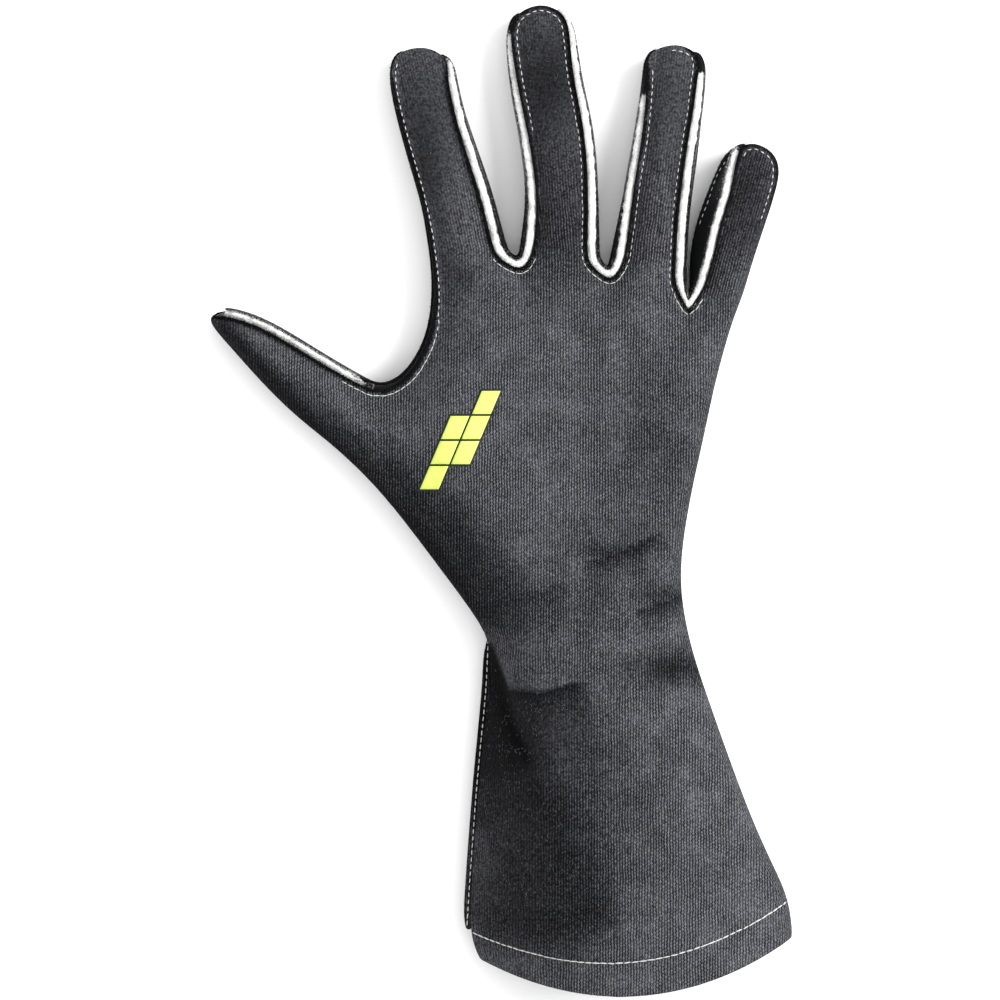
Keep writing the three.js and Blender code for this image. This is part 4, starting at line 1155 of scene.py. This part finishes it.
class GLOVE_OT_fuzz(bpy.types.Operator):
    """Pull loose fibres out of the felted edges, out of the black lips beside them, and out of the knit"""

    bl_idname = "glove.fuzz"
    bl_label = "Loose fibres"

    def execute(self, context):
        scene = context.scene
        random.seed(11)
        fuzz = scene.glove_seam.fuzz
        white = []
        black = []
        for seam in SEAMS:
            edge = bpy.data.objects[f"felt_edge_{seam}"].data
            white += self.pulled(edge, FELT_FIBRES, fuzz, lambda normal: abs(normal.z) < 0.65, "matted")
            strip = bpy.data.objects[f"side_strip_{seam}"].data
            black += self.pulled(strip, LIP_FIBRES, fuzz * 0.8, lambda normal: normal.z > 0.5, "rubbed")
        for place, direction in spaced(smooth_path(sewn_edge(panel_rim("back_panel"))), 0.5 * MM):
            outward = Vector((direction.y, -direction.x, random.uniform(-0.2, 0.5)))
            lean = (outward + direction * random.uniform(-1.2, 1.2)).normalized()
            black.append(fibre_at(place, lean, fuzz * random.uniform(0.3, 1.0), 0.09 * MM))
        pieces = (
            ("felt_fibres", white, felt_material(scene.glove_cloth, "felt_fibre"), "lining"),
            ("lip_fibres", black, suede_material(scene.glove_cloth, "lip_fibre"), "suede"),
        )
        for name, places, material, slot in pieces:
            fibre = bmesh.new()
            foot = Matrix.Translation((0, 0, 0.5))
            bmesh.ops.create_cone(
                fibre, cap_ends=False, segments=3, radius1=1, radius2=0.3, depth=1, matrix=foot
            )
            link_piece(name, copies(name, fibre, places), [material])
        curls = self.scattered(tree_of("knit_back"))
        link_piece("knit_lint", copies("knit_lint", self.curl(), curls), [self.lint_material()])
        return {"FINISHED"}

    @staticmethod
    def curl():
        """A third of a thin ring, standing a little off the cloth."""
        shape = bmesh.new()
        made = bmesh.ops.create_circle(shape, segments=3, radius=0.17, matrix=Matrix.Translation((1, 0, 0.1)))
        turn = Matrix.Rotation(math.pi / 2, 3, "X")
        bmesh.ops.rotate(shape, verts=made["verts"], cent=(1, 0, 0.1), matrix=turn)
        bmesh.ops.spin(
            shape, geom=shape.edges[:], cent=(0, 0, 0), axis=(0, 0, 1), angle=math.radians(130), steps=5
        )
        return shape

    @staticmethod
    def pulled(mesh, count, length, wanted, bare):
        """Level fibres that stand out of a mesh where its normal is wanted and it isn't marked as bare."""
        spared = mesh.attributes[bare].data
        vertices = [v for v in mesh.vertices if wanted(v.normal) and spared[v.index].value < 0.5]
        found = []
        for vert in random.sample(vertices, min(count, len(vertices))):
            loose = Vector((random.uniform(-1, 1), random.uniform(-1, 1), random.uniform(-0.3, 0.3)))
            lean = (vert.normal + loose * 0.8).normalized()
            found.append(fibre_at(vert.co, lean, length * random.uniform(0.4, 1.1), FIBRE_RADIUS))
        return found

    @staticmethod
    def scattered(surface):
        """Matrices for light curls that lie on the knit: most of them where it is felted and low down."""
        felted = [patch for patch in WORN_AND_SHADED_PATCHES if patch.felted > 0.45]
        shares = [p.reach_x * p.reach_y * (CURLS_LOW if p.y < 0 else 1) for p in felted]
        low, high = CAD_BOX
        found = []
        while len(found) < CURLS:
            if random.random() < CURLS_FELTED:
                patch = random.choices(felted, shares)[0]
                x = random.gauss(patch.x, patch.reach_x * 0.6) * MM
                y = random.gauss(patch.y, patch.reach_y * 0.6) * MM
            else:
                x = random.uniform(low.x, high.x)
                y = random.uniform(low.y, high.y)
            spot, normal = dropped(surface, Vector((x, y, 0)))
            if spot is None or normal.z < 0.4:
                continue
            turn = normal.to_track_quat("Z", "Y").to_matrix().to_4x4()
            spin = Matrix.Rotation(random.uniform(0, math.tau), 4, "Z")
            size = Matrix.Scale(random.uniform(0.2, 0.6) * MM, 4)
            found.append(Matrix.Translation(spot) @ turn @ spin @ size)
        return found

    @staticmethod
    def lint_material():
        """Pale lint, in tones that change from place to place."""
        material, tree, shader = new_material("lint", roughness=1.0)
        tone = spread(noise_of(tree, object_point(tree), 0.004), 0.3, 0.7)
        coat(tree, shader, mix_colours(tree, tone, LINT_DARK, LINT_LIGHT))
        return material


class GLOVE_OT_badge(bpy.types.Operator):
    """Print the badge: slanted blocks on a dark ground, following the cloth"""

    bl_idname = "glove.badge"
    bl_label = "Badge"

    def execute(self, context):
        settings = context.scene.glove_badge
        back = tree_of("knit_back")
        low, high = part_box("badge")
        middle = (low + high) / 2
        tall = high.y - low.y
        wide = high.x - low.x - tall * settings.slant
        ground = bmesh.new()
        blocks = bmesh.new()
        layers = (
            ("badge_ground", ground, -settings.joint / 2, GROUND_LIFT * MM, GROUND_COLOUR, ()),
            ("badge_blocks", blocks, settings.joint / 2, BLOCK_LIFT * MM, settings.colour, ["badge"]),
        )
        cell = Vector((wide / 2, tall / settings.rows, 0))
        for row in range(settings.rows):
            for column in range(2):
                if (row, column) in ((0, 1), (settings.rows - 1, 0)):
                    continue
                corner = Vector(((column - 1) * cell.x, (row - settings.rows / 2) * cell.y, 0))
                for _, shape, margin, lift, _, _ in layers:
                    self.block(shape, corner, cell, margin, middle, lift, settings.slant, back)
        for name, shape, _, _, colour, replaced in layers:
            bmesh.ops.remove_doubles(shape, verts=shape.verts, dist=0.001 * MM)
            material = print_material(name, colour)
            piece = link_piece(name, mesh_of(shape, name), [material], replaced)
            wall = piece.modifiers.new("thickness", "SOLIDIFY")
            wall.thickness = PRINT_THICK
            wall.offset = -1
        return {"FINISHED"}

    @staticmethod
    def block(shape, corner, cell, margin, middle, lift, slant, back):
        """One slanted block as a small grid, laid on the cloth."""
        made = bmesh.ops.create_grid(shape, x_segments=6, y_segments=6, size=0.5)
        for vert in made["verts"]:
            x = corner.x + margin + (vert.co.x + 0.5) * (cell.x - 2 * margin)
            y = corner.y + margin + (vert.co.y + 0.5) * (cell.y - 2 * margin)
            spot = dropped(back, middle + Vector((x + y * slant, y, 0)))[0]
            vert.co = spot + Vector((0, 0, lift))


class GLOVE_OT_stage(bpy.types.Operator):
    """Set the floor, the lights and the camera straight above the glove"""

    bl_idname = "glove.stage"
    bl_label = "Stage"

    def execute(self, context):
        stage = context.scene.glove_stage
        shape = bmesh.new()
        bmesh.ops.create_grid(shape, x_segments=1, y_segments=1, size=4)
        floor = linked("floor", mesh_of(shape, "floor"))
        floor.location.z = -FLOOR_DROP
        material, tree, shader = new_material("pale_floor", roughness=0.9)
        grain = noise_of(tree, object_point(tree), 0.3)
        coat(tree, shader, mix_colours(tree, grain, shaded(stage.floor, 0.99), stage.floor))
        floor.data.materials.append(material)

        for name, (place, size, power) in LIGHTS.items():
            data = bpy.data.lights.new(name, "AREA")
            data.shape = "SQUARE"
            data.size = size
            data.energy = power
            light = linked(name, data)
            light.location = place
            light.rotation_euler = (-Vector(place)).to_track_quat("-Z", "Y").to_euler()
        world = bpy.data.worlds.new("studio")
        world.use_nodes = True
        sky = world.node_tree.nodes["Background"].inputs
        sky["Color"].default_value = (1, 1, 1, 1)
        sky["Strength"].default_value = SKY
        context.scene.world = world
        context.scene.view_settings.view_transform = "Standard"

        data = bpy.data.cameras.new("camera")
        data.sensor_width = 36
        data.lens = data.sensor_width * (stage.camera_height - VIEW_LEVEL) / stage.view_width
        camera = linked("camera", data)
        camera.location = (0, -stage.view_shift, stage.camera_height)
        context.scene.camera = camera
        return {"FINISHED"}


class GLOVE_PT_panel(bpy.types.Panel):
    """Lists the settings and the steps that make the glove"""

    bl_idname = "GLOVE_PT_panel"
    bl_label = "Racing glove"
    bl_space_type = "VIEW_3D"
    bl_region_type = "UI"
    bl_category = "Glove"

    def draw(self, context):
        for group, operators in STEPS:
            box = self.layout.box()
            settings = getattr(context.scene, group)
            for name in settings.bl_rna.properties.keys():
                if name not in ("rna_type", "name"):
                    box.prop(settings, name)
            for operator in operators:
                box.operator(operator.bl_idname)


SETTINGS = {
    "glove_cloth": GloveClothSettings,
    "glove_seam": GloveSeamSettings,
    "glove_badge": GloveBadgeSettings,
    "glove_stage": GloveStageSettings,
}
STEPS = (
    (
        "glove_cloth",
        (GLOVE_OT_knit_back, GLOVE_OT_palm, GLOVE_OT_side_strips, GLOVE_OT_lining_edges, GLOVE_OT_hem),
    ),
    ("glove_seam", (GLOVE_OT_cuff_seam, GLOVE_OT_stitches, GLOVE_OT_fuzz)),
    ("glove_badge", (GLOVE_OT_badge,)),
    ("glove_stage", (GLOVE_OT_stage,)),
)
CLASSES = (
    *SETTINGS.values(),
    *(operator for _, operators in STEPS for operator in operators),
    GLOVE_PT_panel,
)


def register():
    for cls in CLASSES:
        bpy.utils.register_class(cls)
    for name, cls in SETTINGS.items():
        setattr(bpy.types.Scene, name, PointerProperty(type=cls))


def unregister():
    for name in SETTINGS:
        delattr(bpy.types.Scene, name)
    for cls in reversed(CLASSES):
        bpy.utils.unregister_class(cls)


def main():
    register()
    bpy.ops.glove.knit_back()
    bpy.ops.glove.palm()
    bpy.ops.glove.side_strips()
    bpy.ops.glove.lining_edges()
    bpy.ops.glove.hem()
    bpy.ops.glove.cuff_seam()
    bpy.ops.glove.stitches()
    bpy.ops.glove.fuzz()
    bpy.ops.glove.badge()
    bpy.ops.glove.stage()


if __name__ == "__main__":
    main()
